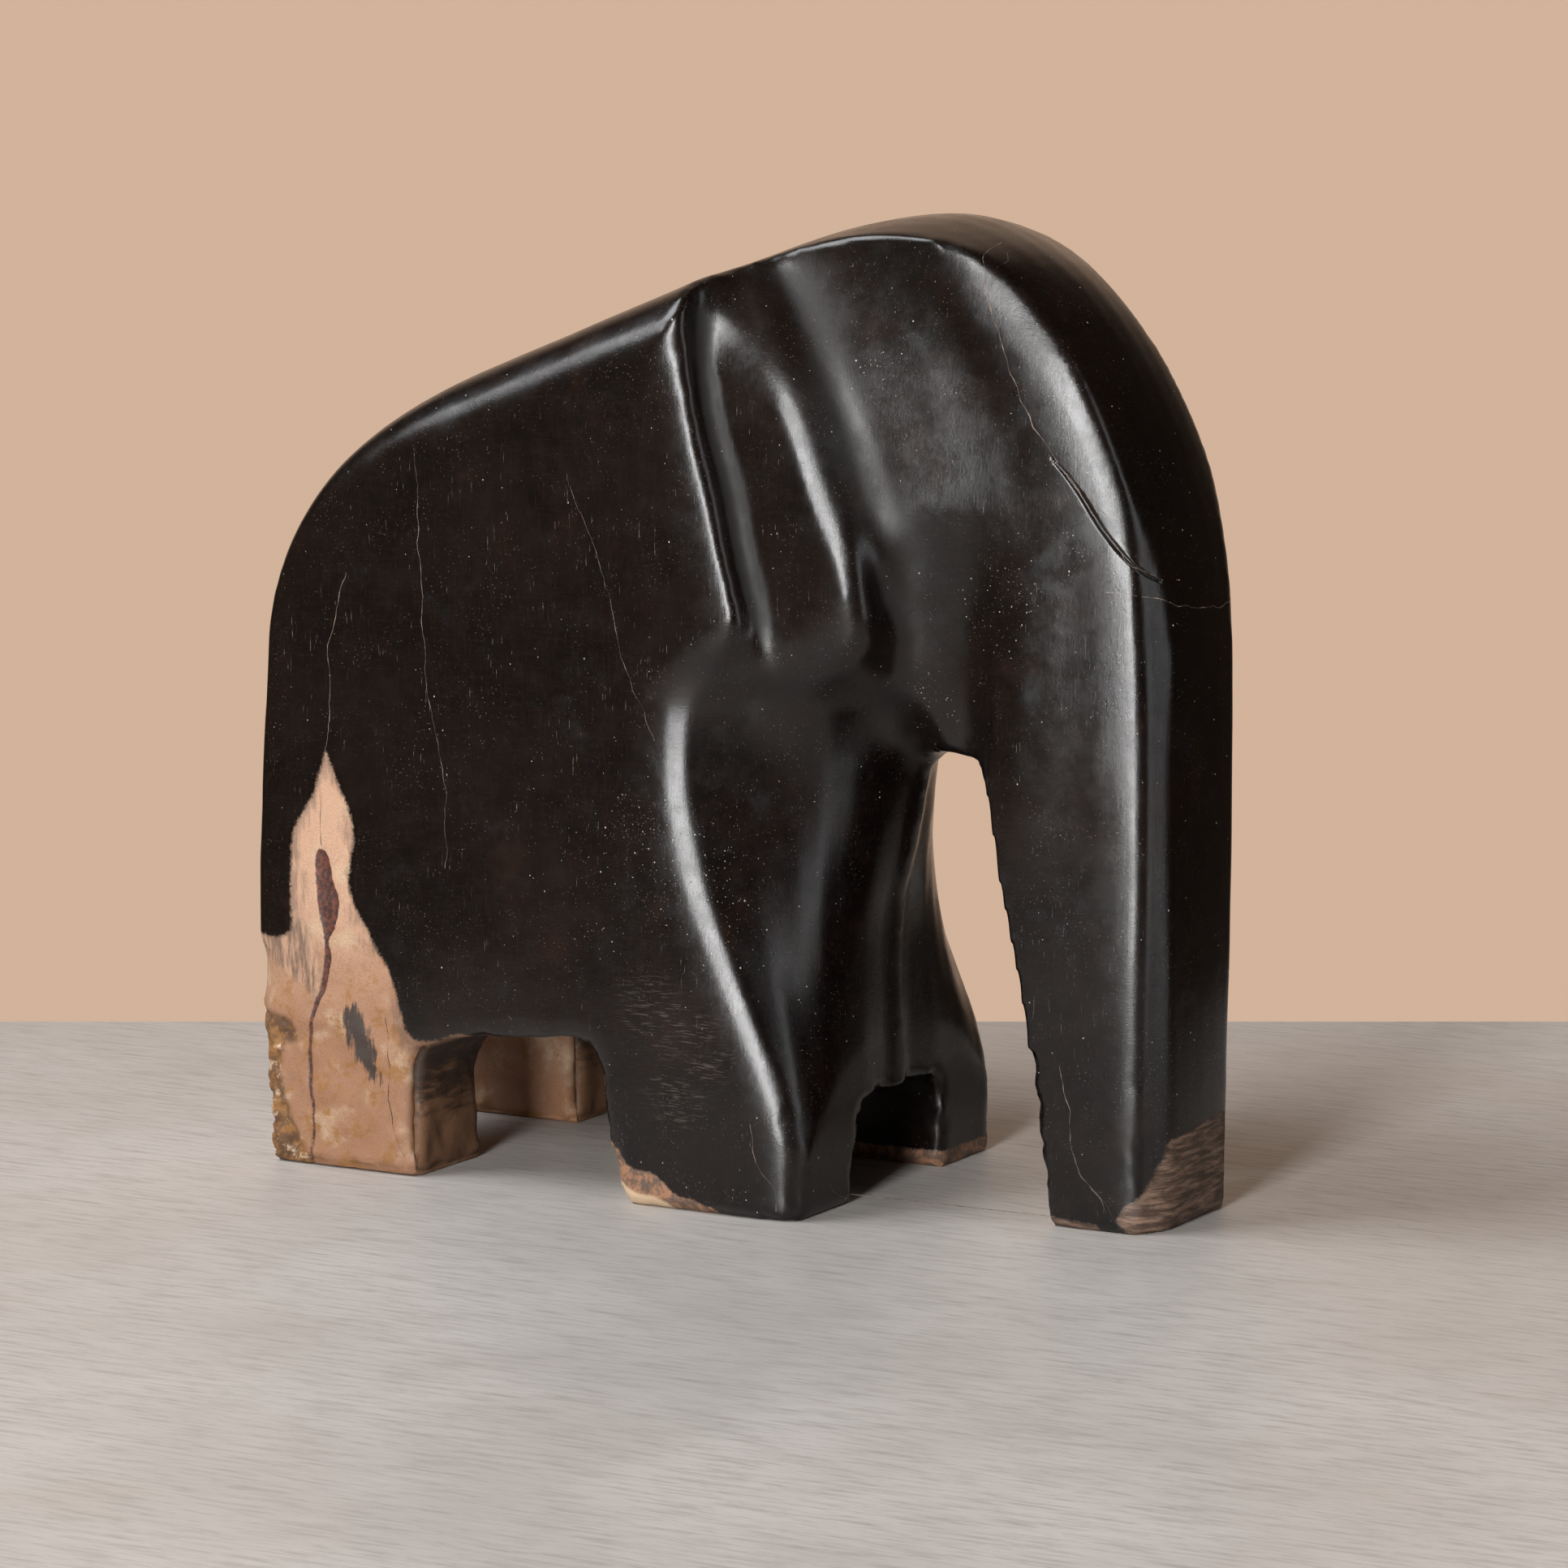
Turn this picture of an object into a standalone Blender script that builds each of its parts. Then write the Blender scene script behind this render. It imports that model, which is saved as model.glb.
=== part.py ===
"""A standing elephant carved from one block of petrified wood, in Blender's metres, +Z up.

The head and trunk point along +X. The block stands on four feet and the trunk's tip at z = 0,
and the origin is under the middle of its bounding box. The two flanks mirror each other,
and only the hind legs' arch stands off the middle. The carving is a side profile with rounded
edges, and a relief that gives how wide it is at each point of that profile, with the arches
between the left and right legs cut away.
"""

import math

import bmesh
import bpy
from mathutils import Vector

# Overall sizes
LENGTH = 0.179  # rump to front of trunk
HEIGHT = 0.180  # soles to crown of the head
BODY_WIDTH = 0.079  # across the flanks
HEAD_WIDTH = 0.0345  # across the front edges of the trunk and forehead

# Feet and the spaces between the legs
HIND_FOOT_LENGTH = 0.033
HEEL_SLOPE = 0.0035  # how far the rump stands out behind the hind sole
FRONT_FOOT_LENGTH = 0.036
BELLY_HEIGHT = 0.029
LEG_SLOT_WIDTH = 0.034  # between the left and right legs
HIND_SLOT_SHIFT = 0.0015  # of the hind legs' arch towards the left flank
FRONT_SLOT_HEIGHT = 0.019
HIND_SLOT_HEIGHT = 0.024

# Trunk
TRUNK_TIP_DEPTH = 0.0222  # front to back at the floor
TRUNK_ROOT_DEPTH = 0.0347  # front to back under the jaw
JAW_HEIGHT = 0.084
CHAMFER_DEPTH = 0.0039  # front to back, on the two front edges of the trunk and forehead
CHAMFER_WIDTH = 0.0058  # across

# Rounding and crowning
BACK_ROLL = 0.011  # radius where the flank turns into the back
RUMP_ROLL = 0.0036  # radius where the flank turns into the rump
SOLE_ROLL = 0.0012  # radius of the edges of the feet and of the belly
HEAD_CROWN = 0.0027  # how far the head's top bulges across its width
TRUNK_CROWN = 0.0012  # the same for the trunk's front

# Carved depths below the flank
GROOVE_DEPTH = 0.0065  # between the shoulder and the ear
EAR_DEPTH = 0.0070  # of the ear's sharp front crest

CUTTER_MARGIN = 0.010
CURVE_STEPS = 18
RELIEF_RINGS = 84
RELIEF_MARGIN = 8.0  # how far the relief runs below the soles and above the crown, in millimetres
RING_STEPS = (1, 3, 2, 2, 3, 2, 3, 3, 3, 2, 3, 2, 3, 1, 1)  # between the lines of one half ring

FLANK_Y = BODY_WIDTH / 2
FACE_Y = HEAD_WIDTH / 2
REAR_X = -LENGTH / 2
FRONT_X = LENGTH / 2

# The block that the carved lines of the relief are drawn for
DRAWN_LENGTH = 0.179
DRAWN_HEIGHT = 0.180
DRAWN_MIDDLE = 0.8  # where its middle is along those drawings, in millimetres


def scaled(x_mm, z_mm):
    """A point of a side view drawn for the block above, in metres at this block's size."""
    return (x_mm - DRAWN_MIDDLE) / 1000 * LENGTH / DRAWN_LENGTH, z_mm / 1000 * HEIGHT / DRAWN_HEIGHT


def clear_scene():
    for obj in list(bpy.data.objects):
        bpy.data.objects.remove(obj, do_unlink=True)


def smooth_rail(rail, z):
    """The values at height z of a smooth line through a rail's rows (z, value, ...), in millimetres."""
    if z <= rail[0][0]:
        return rail[0][1:]
    if z >= rail[-1][0]:
        return rail[-1][1:]
    i = next(k for k in range(len(rail) - 1) if z <= rail[k + 1][0])
    rows = [rail[max(i - 1, 0)], rail[i], rail[i + 1], rail[min(i + 2, len(rail) - 1)]]
    span = rows[2][0] - rows[1][0]
    t = (z - rows[1][0]) / span
    found = []
    for k in range(1, len(rows[0])):
        slopes = []
        for low, high in ((rows[0], rows[2]), (rows[1], rows[3])):
            slopes.append((high[k] - low[k]) / (high[0] - low[0]) * span)
        a, b = rows[1][k], rows[2][k]
        found.append(
            a * (2 * t**3 - 3 * t**2 + 1)
            + slopes[0] * (t**3 - 2 * t**2 + t)
            + b * (3 * t**2 - 2 * t**3)
            + slopes[1] * (t**3 - t**2)
        )
    return found


def bezier(start, start_handle, end_handle, end, steps=CURVE_STEPS):
    """Points on a cubic curve, without its first one."""
    points = []
    for i in range(1, steps + 1):
        t = i / steps
        s = 1 - t
        weights = (s**3, 3 * s * s * t, 3 * s * t * t, t**3)
        corners = (start, start_handle, end_handle, end)
        points.append(tuple(sum(w * c[k] for w, c in zip(weights, corners)) for k in (0, 1)))
    return points


def mesh_object(name, rings):
    """A closed solid through rings of equally many 3-D points, with its two ends filled."""
    mesh = bpy.data.meshes.new(name)
    bm = bmesh.new()
    loops = [[bm.verts.new(p) for p in ring] for ring in rings]
    count = len(loops[0])
    for a, b in zip(loops, loops[1:]):
        for i in range(count):
            j = (i + 1) % count
            bm.faces.new((a[i], a[j], b[j], b[i]))
    bm.faces.new(loops[0])
    bm.faces.new(loops[-1])
    caps = [f for f in bm.faces if len(f.verts) > 4]
    bmesh.ops.triangulate(bm, faces=caps, ngon_method="EAR_CLIP")
    bmesh.ops.recalc_face_normals(bm, faces=bm.faces)
    bm.to_mesh(mesh)
    bm.free()
    obj = bpy.data.objects.new(name, mesh)
    bpy.context.scene.collection.objects.link(obj)
    return obj


def combine(target, tool, operation):
    """Cuts the tool from the target or keeps what they share, and leaves the tool as a hidden helper."""
    tool.hide_render = True
    tool.display_type = "WIRE"
    modifier = target.modifiers.new(f"{operation.lower()}_{tool.name}", "BOOLEAN")
    modifier.operation = operation
    modifier.solver = "EXACT"
    modifier.object = tool


def profile():
    """The side outline at the block's middle, anticlockwise, as rows of x, z, edge roll and crown."""
    edge = (SOLE_ROLL, 0)
    rows = []

    def add(points, roll, crown):
        rows.extend((x, z, roll, crown) for x, z in points)

    hind_x = REAR_X + HEEL_SLOPE + HIND_FOOT_LENGTH
    toe_x = scaled(28, 0)[0]
    heel_x = toe_x - FRONT_FOOT_LENGTH
    belly = BELLY_HEIGHT
    add([(REAR_X + 0.0025, 0), (hind_x, 0), (hind_x, 0.72 * belly)], *edge)
    add([(hind_x + 0.0015, 0.84 * belly), (hind_x + 0.0055, 0.92 * belly)], *edge)
    add([(hind_x + 0.014, 0.97 * belly), (hind_x + 0.026, belly)], *edge)
    add([(heel_x - 0.010, belly + 0.001)], *edge)
    add([(heel_x - 0.0065, belly - 0.001), (heel_x - 0.005, belly - 0.005)], *edge)
    add([(heel_x - 0.0035, 0.4 * belly), (heel_x, 0), (toe_x, 0)], *edge)
    chest = ((28.8, 19.7), (28.1, 39), (28.6, 54), (30.8, 62), (32.8, 71), (34.0, 78))
    add([scaled(x, z) for x, z in chest], *edge)
    root_x = FRONT_X - TRUNK_ROOT_DEPTH
    tip_x = FRONT_X - TRUNK_TIP_DEPTH
    add([(scaled(37, 0)[0], JAW_HEIGHT - 0.002), (root_x - 0.010, JAW_HEIGHT)], *edge)
    add([(root_x - 0.0025, JAW_HEIGHT - 0.001), (root_x, JAW_HEIGHT - 0.005)], *edge)
    trunk_rear = ((0.9, 0.87), (0.78, 0.74), (0.52, 0.57), (0.42, 0.5), (0.24, 0.33), (0.12, 0.17))
    for depth, height in trunk_rear:
        add([(tip_x + (root_x - tip_x) * depth, JAW_HEIGHT * height)], *edge)
    brow = (FRONT_X, 0.567 * HEIGHT)
    crown = (scaled(38, 0)[0], HEIGHT)
    add([(tip_x, 0), (FRONT_X - 0.001, 0)], *edge)
    add([(FRONT_X, 0.12 * HEIGHT), brow], SOLE_ROLL, TRUNK_CROWN)
    forehead = bezier(brow, (FRONT_X, brow[1] + 0.034), (crown[0] + 0.030, HEIGHT), crown, 26)
    for i, point in enumerate(forehead):
        share = (i + 1) / len(forehead)
        add([point], SOLE_ROLL, TRUNK_CROWN + (HEAD_CROWN - TRUNK_CROWN) * share)
    nape = scaled(2, 170.2)
    back = bezier(crown, (crown[0] - 0.013, HEIGHT), (nape[0] + 0.010, nape[1] + 0.0042), nape)
    for i, point in enumerate(back):
        share = (i + 1) / len(back)
        add([point], BACK_ROLL, HEAD_CROWN * (1 - 0.8 * share))
    loin = scaled(-45, 150.8)
    add([scaled(-20, 161.0), loin], BACK_ROLL, 0.0004)
    rump = (REAR_X + 0.0026, 0.555 * HEIGHT)
    haunch = bezier(loin, scaled(-68, 140.6), (rump[0] + 0.0005, rump[1] + 0.025), rump)
    for i, point in enumerate(haunch):
        share = (i + 1) / len(haunch)
        add([point], BACK_ROLL + (RUMP_ROLL - BACK_ROLL) * share, 0.0004 * (1 - share))
    add([(REAR_X, 0.32 * HEIGHT), (REAR_X, 0.2 * HEIGHT), (REAR_X + 0.0006, 0.08 * HEIGHT)], RUMP_ROLL, 0)
    return rows


def inward_normals(outline):
    """The unit normal into an anticlockwise outline at each point."""
    normals = []
    for i, point in enumerate(outline):
        before = Vector(outline[i - 1])
        after = Vector(outline[(i + 1) % len(outline)])
        tangent = (Vector(point) - before).normalized() + (after - Vector(point)).normalized()
        normals.append(Vector((-tangent.y, tangent.x)).normalized())
    return normals


def block():
    """The side profile drawn across the block, drawn in at each edge by its roll and its crown."""
    rows = profile()
    normals = inward_normals([row[:2] for row in rows])
    roll_steps = [math.sin(math.radians(a)) for a in (0, 18, 36, 52, 66, 78, 90)]
    middle = [FACE_Y * share for share in (0, 0.35, 0.7, 1.0, 1.3)]
    stops = middle + [FLANK_Y - BACK_ROLL * (1 - s) for s in roll_steps]
    stops.append(FLANK_Y + CUTTER_MARGIN)
    stops = [-y for y in reversed(stops[1:])] + stops
    rings = []
    for y in stops:
        ring = []
        for (x, z, roll, crown), normal in zip(rows, normals):
            reach = min(abs(y), FLANK_Y)
            into_roll = max(0.0, (reach - FLANK_Y + roll) / roll)
            inset = roll * (1 - math.sqrt(max(0.0, 1 - into_roll**2)))
            inset += crown * (reach / FACE_Y) ** 2
            ring.append((x + normal.x * inset, y, max(0.0, z + normal.y * inset)))
        rings.append(ring)
    return mesh_object("elephant_carving", rings)


# The relief's lines from the flank to the front, each as rows of z, x, y in millimetres at the
# drawn size.
# Above the jaw they run over the shoulder, groove, ear, cheek and face. Below it they run over the
# front leg and breast, across the open space, and over the side of the trunk.
ROLL_START = 6.0  # how far behind the shoulder line the flank starts to turn in
FLANK_RUN = 60.0  # the plain flank behind that, before it is drawn out past the rump
FOOT_CRISPNESS = 0.75  # of the arris in front of the shoulder: 0 is round, 1 sharp
JAW_CRISPNESS = 0.6  # of the crease between ear and cheek
SEAM = 0.4  # the relief's least half width, where it only crosses open space
WIDE = 1000 * FLANK_Y
FACE = 1000 * FACE_Y
GROOVE = WIDE - 1000 * GROOVE_DEPTH
EAR = WIDE - 1000 * EAR_DEPTH
SHOULDER = [
    (0, 24.3, WIDE - 0.7), (15, 23.2, WIDE - 0.8), (25, 20.1, WIDE - 0.9), (35, 15.1, WIDE - 0.9),
    (46, 10, WIDE - 0.9), (58, 5, WIDE - 0.9), (69, 2, WIDE - 0.9), (78, 0.4, WIDE - 0.9),
    (88, 0.4, WIDE - 0.9), (94, 1.8, WIDE - 1.0), (99, 5.5, WIDE - 1.0), (104, 10.8, WIDE - 0.9),
    (109, 13.5, WIDE - 0.8), (114, 12.4, WIDE - 0.8), (121, 10.3, WIDE - 0.8), (130, 8.1, WIDE - 0.8),
    (139, 5.8, WIDE - 0.9), (154, 3.1, WIDE - 1.2), (168, 0.8, WIDE - 2.2),
]
SHOULDER_FOOT = [
    (0, 26.8, WIDE - 1.6), (15, 26.2, WIDE - 1.9), (25, 23.9, WIDE - 2.3), (35, 19.3, WIDE - 2.4),
    (46, 14.3, WIDE - 2.4), (58, 9.4, WIDE - 2.5), (69, 6.4, WIDE - 2.5), (78, 4.6, WIDE - 2.4),
    (88, 4.6, WIDE - 2.4), (94, 6.0, WIDE - 2.5), (99, 9.6, WIDE - 2.4), (104, 13.9, WIDE - 2.0),
    (109, 15.8, WIDE - 1.7), (114, 14.6, WIDE - 1.6), (121, 12.6, WIDE - 1.6), (130, 10.4, WIDE - 1.6),
    (139, 7.9, WIDE - 1.7), (154, 4.9, WIDE - 2.2), (168, 2.3, WIDE - 3.6),
]
GROOVE_LINE = [
    (0, 28.4, 34.8), (15, 28.4, 34.8), (25, 26.3, 34.3), (35, 22.9, 33.2), (46, 18.9, 32.2),
    (58, 15.5, 31.4), (69, 13.5, 31.0), (80, 13.1, 30.8), (88, 13.6, 30.9), (94, 15.6, 30.7),
    (98, 20.2, GROOVE - 1.8), (102, 19.0, GROOVE - 0.6), (108, 16.8, GROOVE), (114, 14.9, GROOVE),
    (122, 12.9, GROOVE), (131, 11.2, GROOVE), (148, 6.0, GROOVE), (163, 4.2, GROOVE - 1.5),
    (172, 2.5, GROOVE - 3.5),
]
EAR_CREST = [
    (0, 29.4, 26.6), (15, 29.4, 26.6), (25, 28.4, 25.4), (35, 26.6, 24.0), (46, 25.0, 22.7),
    (58, 23.8, 21.5), (69, 23.6, 21.1), (80, 24.0, 21.3), (88, 25.0, 22.4), (93, 27.6, 24.0),
    (97, 32.5, 26.0), (101, 36.6, 29.2), (105, 37.0, EAR - 1.6), (109, 36.0, EAR - 0.6),
    (114, 34.2, EAR), (121, 31.0, EAR + 0.1), (129, 27.5, EAR), (146, 20.5, EAR),
    (155, 15.2, EAR - 1.6), (166.5, 9.6, EAR - 6.0), (173, 6.5, EAR - 9.0),
]
DISH = [
    (0, 29.5, 17), (25, 28.7, 14), (46, 27.2, 11.5), (58, 28.0, 10.5), (69, 29.6, 10.0),
    (80, 31.0, 10.0), (88, 31.6, 13.0), (93, 32.6, 16.0), (97, 34.8, 20.0), (101, 37.6, 24.2),
    (105, 38.6, 26.8), (109, 38.2, 28.8), (114, 37.2, 30.6), (121, 34.8, 31.2), (129, 31.6, 31.0),
    (146, 24.8, 31.0), (155, 19.8, 29.4), (166.5, 13.2, 24.8), (173, 10.0, 22.2),
]
FOLD = [
    (0, 29.7, 0.4), (25, 29.3, 0.4), (40, 28.6, 0.4), (54, 29.1, 0.4), (62, 31.3, 0.4), (71, 33.3, 0.4),
    (79, 34.8, 0.4), (83, 36.0, 6.0), (88, 37.0, 12.0), (93, 37.4, 14.8), (98, 38.0, 17.4),
    (104, 38.6, 20.0), (109, 38.6, 22.0), (114, 38.0, 24.6), (119, 37.6, 26.6), (125, 38.2, 26.4),
    (130, 37.2, 26.2), (146, 30.2, 26.2), (155, 25.4, 24.8), (166.5, 17.6, 21.8), (173, 14.5, 20.2),
]
JAW = [
    (0, 36, 0.4), (60, 36, 0.4), (72, 38.5, 2), (79, 41, 9), (85, 44.4, 14.6), (93, 42.4, 16.4),
    (100, 41.2, 18.0), (107, 41.2, 19.8), (113, 41.8, 21.4), (119, 42.8, 22.6), (125, 43.6, 24.2),
    (130, 43.8, 25.0), (146, 38.2, 24.4), (155, 34.4, 23.0), (166.5, 26.5, 20.3), (173, 24, 19.0),
]
CHEEK = [
    (0, 58, FACE + 0.8), (30, 56, FACE + 1.8), (60, 52, FACE + 1.2), (79, 49.5, FACE - 1.5),
    (85, 50.0, FACE - 2.4), (93, 50.5, FACE - 0.8), (100, 51.0, FACE + 0.3), (107, 51.4, FACE + 1.4),
    (113, 52.0, FACE + 2.6), (119, 52.4, FACE + 4.2), (125, 51.8, FACE + 5.6), (130, 52.0, FACE + 6.3),
    (146, 48.0, FACE + 5.4), (155, 44.0, FACE + 4.2), (166.5, 35.5, FACE + 2.2), (173, 33, FACE + 1.3),
]
TRUNK_EDGE = [
    (0, 66, FACE + 0.6), (30, 62.5, FACE + 1.9), (60, 58.5, FACE + 2.4), (79, 56.5, FACE + 2.4),
    (85, 56.8, FACE + 2.6), (93, 58.0, FACE + 3.2), (103, 58.6, FACE + 3.7), (113, 59.2, FACE + 4.1),
    (119, 60.4, FACE + 4.4), (130, 62.0, FACE + 4.5), (146, 58.5, FACE + 3.6), (155, 52.5, FACE + 2.8),
    (166.5, 44, FACE + 1.4), (173, 40, FACE + 0.8),
]
TRUNK_SIDE = [
    (0, 75, FACE + 0.7), (30, 74.5, FACE + 1.6), (60, 74, FACE + 2.1), (90, 74, FACE + 2.5),
    (113, 74, FACE + 2.9), (126, 72.6, FACE + 3.2), (139, 68.6, FACE + 3.4), (153, 60.6, FACE + 3.0),
    (165.5, 50, FACE + 1.8), (173, 45, FACE + 0.8),
]
TRUNK_ROLL = [
    (0, 81, FACE + 0.4), (30, 81.5, FACE + 1.0), (60, 82, FACE + 1.2), (90, 82.2, FACE + 1.3),
    (113, 81.8, FACE + 1.5), (126, 80.4, FACE + 1.8), (139, 76.7, FACE + 1.9), (153, 68.0, FACE + 1.7),
    (165.5, 58.4, FACE + 0.4), (173, 51.0, FACE - 0.2),
]
FRONT_EDGE = [
    (0, 85.5, FACE - 0.1), (38, 85.9, FACE + 0.1), (62, 86.3, FACE + 0.2), (90.5, 86.3, FACE + 0.2),
    (113, 85.3, FACE + 0.5), (126, 83.9, FACE + 0.5), (139, 81.3, FACE + 0.2), (153, 76.6, FACE - 1.2),
    (165.5, 67.0, FACE - 2.6), (173, 59.5, FACE - 3.0), (177, 54.0, FACE - 2.6),
]
LINES = (
    SHOULDER, SHOULDER_FOOT, GROOVE_LINE, EAR_CREST, DISH, FOLD, JAW, CHEEK, TRUNK_EDGE, TRUNK_SIDE,
    TRUNK_ROLL, FRONT_EDGE,
)


def half_ring(z_mm):
    """The right half of the relief at one height, from the rear forward, as (x, half width) in metres."""
    points = [smooth_rail(line, z_mm) for line in LINES]
    points = [(x, max(y, SEAM)) for x, y in points]
    start = points[0][0] - ROLL_START
    edge_x, edge_y = points[-1]
    chamfer_x, chamfer_y = 1000 * CHAMFER_DEPTH, 1000 * CHAMFER_WIDTH
    sharp = [0.0] * len(points)
    sharp[LINES.index(SHOULDER_FOOT)] = FOOT_CRISPNESS
    sharp[LINES.index(GROOVE_LINE)] = 1
    sharp[LINES.index(EAR_CREST)] = min(max((z_mm - 94) / 12, 0), 1)
    sharp[LINES.index(JAW)] = JAW_CRISPNESS
    sharp[LINES.index(FRONT_EDGE)] = 1
    points = [(start - FLANK_RUN, WIDE), (start, WIDE)] + points
    points.append((edge_x + chamfer_x, edge_y - chamfer_y))
    points.append((edge_x + 2 * chamfer_x, max(edge_y - 2 * chamfer_y, SEAM)))
    sharp = [1, 1] + sharp + [1, 1]
    return [(scaled(x, 0)[0], y / 1000) for x, y in curved(points, sharp)]


def curved(points, sharp):
    """A line through the points, rounded at each one by how little sharp it is."""
    points = [Vector(p) for p in points]
    gaps = [max((b - a).length, 1e-6) for a, b in zip(points, points[1:])]
    slopes = [(b - a) / gap for a, b, gap in zip(points, points[1:], gaps)]
    line = [points[0]]
    for i, steps in enumerate(RING_STEPS):
        leave, arrive = slopes[i], slopes[i]
        if i > 0:
            even = (slopes[i - 1] * gaps[i] + slopes[i] * gaps[i - 1]) / (gaps[i - 1] + gaps[i])
            leave = even.lerp(slopes[i], sharp[i])
        if i < len(slopes) - 1:
            even = (slopes[i] * gaps[i + 1] + slopes[i + 1] * gaps[i]) / (gaps[i] + gaps[i + 1])
            arrive = even.lerp(slopes[i], sharp[i + 1])
        for k in range(1, steps + 1):
            t = k / steps
            line.append(
                points[i] * (2 * t**3 - 3 * t**2 + 1)
                + leave * gaps[i] * (t**3 - 2 * t**2 + t)
                + points[i + 1] * (3 * t**2 - 2 * t**3)
                + arrive * gaps[i] * (t**3 - t**2)
            )
    return line


def relief():
    """The block whose two sides carry the carving, taller and longer than the profile."""
    rings = []
    low, high = -RELIEF_MARGIN, DRAWN_HEIGHT * 1000 + RELIEF_MARGIN
    for i in range(RELIEF_RINGS + 1):
        z_mm = low + (high - low) * i / RELIEF_RINGS
        right = half_ring(z_mm)
        right[0] = (REAR_X - CUTTER_MARGIN, right[0][1])
        z = scaled(0, z_mm)[1]
        ring = [(x, -y, z) for x, y in right] + [(x, y, z) for x, y in reversed(right)]
        rings.append(ring)
    return mesh_object("relief", rings)


def slot_cutter(name, low_x, high_x, height, shift=0.0):
    """The arch between the left and right legs, from low_x to high_x, moved by shift across."""
    half = LEG_SLOT_WIDTH / 2
    outline = [(-half, -CUTTER_MARGIN), (half, -CUTTER_MARGIN), (half, 0)]
    outline += [(half - 0.0008, 0.8 * height), (half - 0.003, 0.97 * height), (half - 0.008, height)]
    outline += [(0.008 - half, height), (0.003 - half, 0.97 * height)]
    outline += [(0.0008 - half, 0.8 * height), (-half, 0)]
    return mesh_object(name, [[(x, y + shift, z) for y, z in outline] for x in (low_x, high_x)])


def petrified_wood():
    material = bpy.data.materials.new("petrified_wood")
    material.use_nodes = True
    shader = material.node_tree.nodes["Principled BSDF"]
    shader.inputs["Base Color"].default_value = (0.016, 0.012, 0.011, 1)
    shader.inputs["Roughness"].default_value = 0.3
    shader.inputs["Metallic"].default_value = 0
    return material


def elephant():
    body = block()
    combine(body, relief(), "INTERSECT")
    middle = scaled(-30, 0)[0]
    rear = REAR_X - CUTTER_MARGIN
    breast = scaled(36, 0)[0]
    hind_slot = slot_cutter("hind_slot", rear, middle, HIND_SLOT_HEIGHT, HIND_SLOT_SHIFT)
    front_slot = slot_cutter("front_slot", middle, breast, FRONT_SLOT_HEIGHT)
    combine(body, hind_slot, "DIFFERENCE")
    combine(body, front_slot, "DIFFERENCE")
    body.data.materials.append(petrified_wood())
    return body


def main():
    clear_scene()
    elephant()


main()
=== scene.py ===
import math

import bmesh
import bpy
import numpy as np
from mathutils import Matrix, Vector, noise
from mathutils.bvhtree import BVHTree


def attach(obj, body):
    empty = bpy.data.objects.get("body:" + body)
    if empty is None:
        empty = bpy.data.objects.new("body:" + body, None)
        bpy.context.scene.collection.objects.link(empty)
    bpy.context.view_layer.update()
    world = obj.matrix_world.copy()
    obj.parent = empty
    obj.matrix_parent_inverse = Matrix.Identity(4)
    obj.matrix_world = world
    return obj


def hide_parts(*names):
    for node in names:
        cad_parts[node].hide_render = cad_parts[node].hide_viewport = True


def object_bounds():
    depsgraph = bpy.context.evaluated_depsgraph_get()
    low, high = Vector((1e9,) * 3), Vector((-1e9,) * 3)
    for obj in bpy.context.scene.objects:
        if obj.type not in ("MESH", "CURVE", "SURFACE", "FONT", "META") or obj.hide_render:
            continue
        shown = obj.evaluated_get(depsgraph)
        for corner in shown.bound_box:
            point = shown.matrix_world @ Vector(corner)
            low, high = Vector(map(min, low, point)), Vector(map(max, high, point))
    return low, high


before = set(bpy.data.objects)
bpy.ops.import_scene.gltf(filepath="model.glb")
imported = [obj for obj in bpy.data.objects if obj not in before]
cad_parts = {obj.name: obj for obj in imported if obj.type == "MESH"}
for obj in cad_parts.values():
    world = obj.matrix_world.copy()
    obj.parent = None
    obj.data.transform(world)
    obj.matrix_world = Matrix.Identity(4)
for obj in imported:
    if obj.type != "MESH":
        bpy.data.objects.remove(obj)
CAD_LOW, CAD_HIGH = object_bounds()

# ---------------------------------------------------------------- sizes

MM = 0.001
LOW, HIGH = np.array(CAD_LOW), np.array(CAD_HIGH)
SPAN = HIGH - LOW
MIDDLE = Vector((LOW + HIGH) / 2)

MESH_STEP = 1.2 * MM        # spacing of the even mesh that the stone is carved on
POLISH_ROUNDS = 9           # smoothing rounds that take the facets out of the block
POLISH_IN = 0.55            # how far a round pulls each point in, as a share of the way
POLISH_OUT = 0.57           # how far it then pushes it back out, to keep the volume
ARRIS_ROUNDS = 14           # smoothing rounds that find the arrises
BLUR_SHARE = 0.6            # how far a round of blurring or rubbing moves a point
HAND_WAVE = 0.24 * MM       # unevenness left by polishing by hand
WAVE_LENGTH = 17 * MM
CHIP_DEPTH = 1.5 * MM
CHIP_LENGTH = 4.5 * MM
CHIPPED_RIDGE = (0.12 * MM, 0.7 * MM)   # arrises that stand out this far begin to chip, and chip fully
FOOT_HEIGHT = 7 * MM        # the soles' arrises are chipped up to here
NOTCH_HEIGHT = 34 * MM      # the notches between the legs have rough arrises up to here
NOTCH_CHIPS = 0.5           # how strong those chips are next to those of the soles
RIND_TOP = (0.19, 0.27)     # shares of the height between which the scoops in the rind fade out
RIND_STEP = 0.10 * MM       # how far the rind lies below the polished stone
WORN_ARRIS = 2.2 * MM       # how far the arrises of the hind feet are worn off
WORN_RIDGE = (0.1 * MM, 1.1 * MM)       # the same for the arrises that are worn off
SCOOP_DEPTH = 0.55 * MM
SCOOP_LENGTH = 6 * MM
LUMP_DEPTH = 0.5 * MM       # broad lumps on the hind feet
LUMP_LENGTH = 8 * MM
PIT_DEPTH = 1.1 * MM
PIT_LENGTH = 3.2 * MM
VEIN_DEPTH = 0.45 * MM
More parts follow.
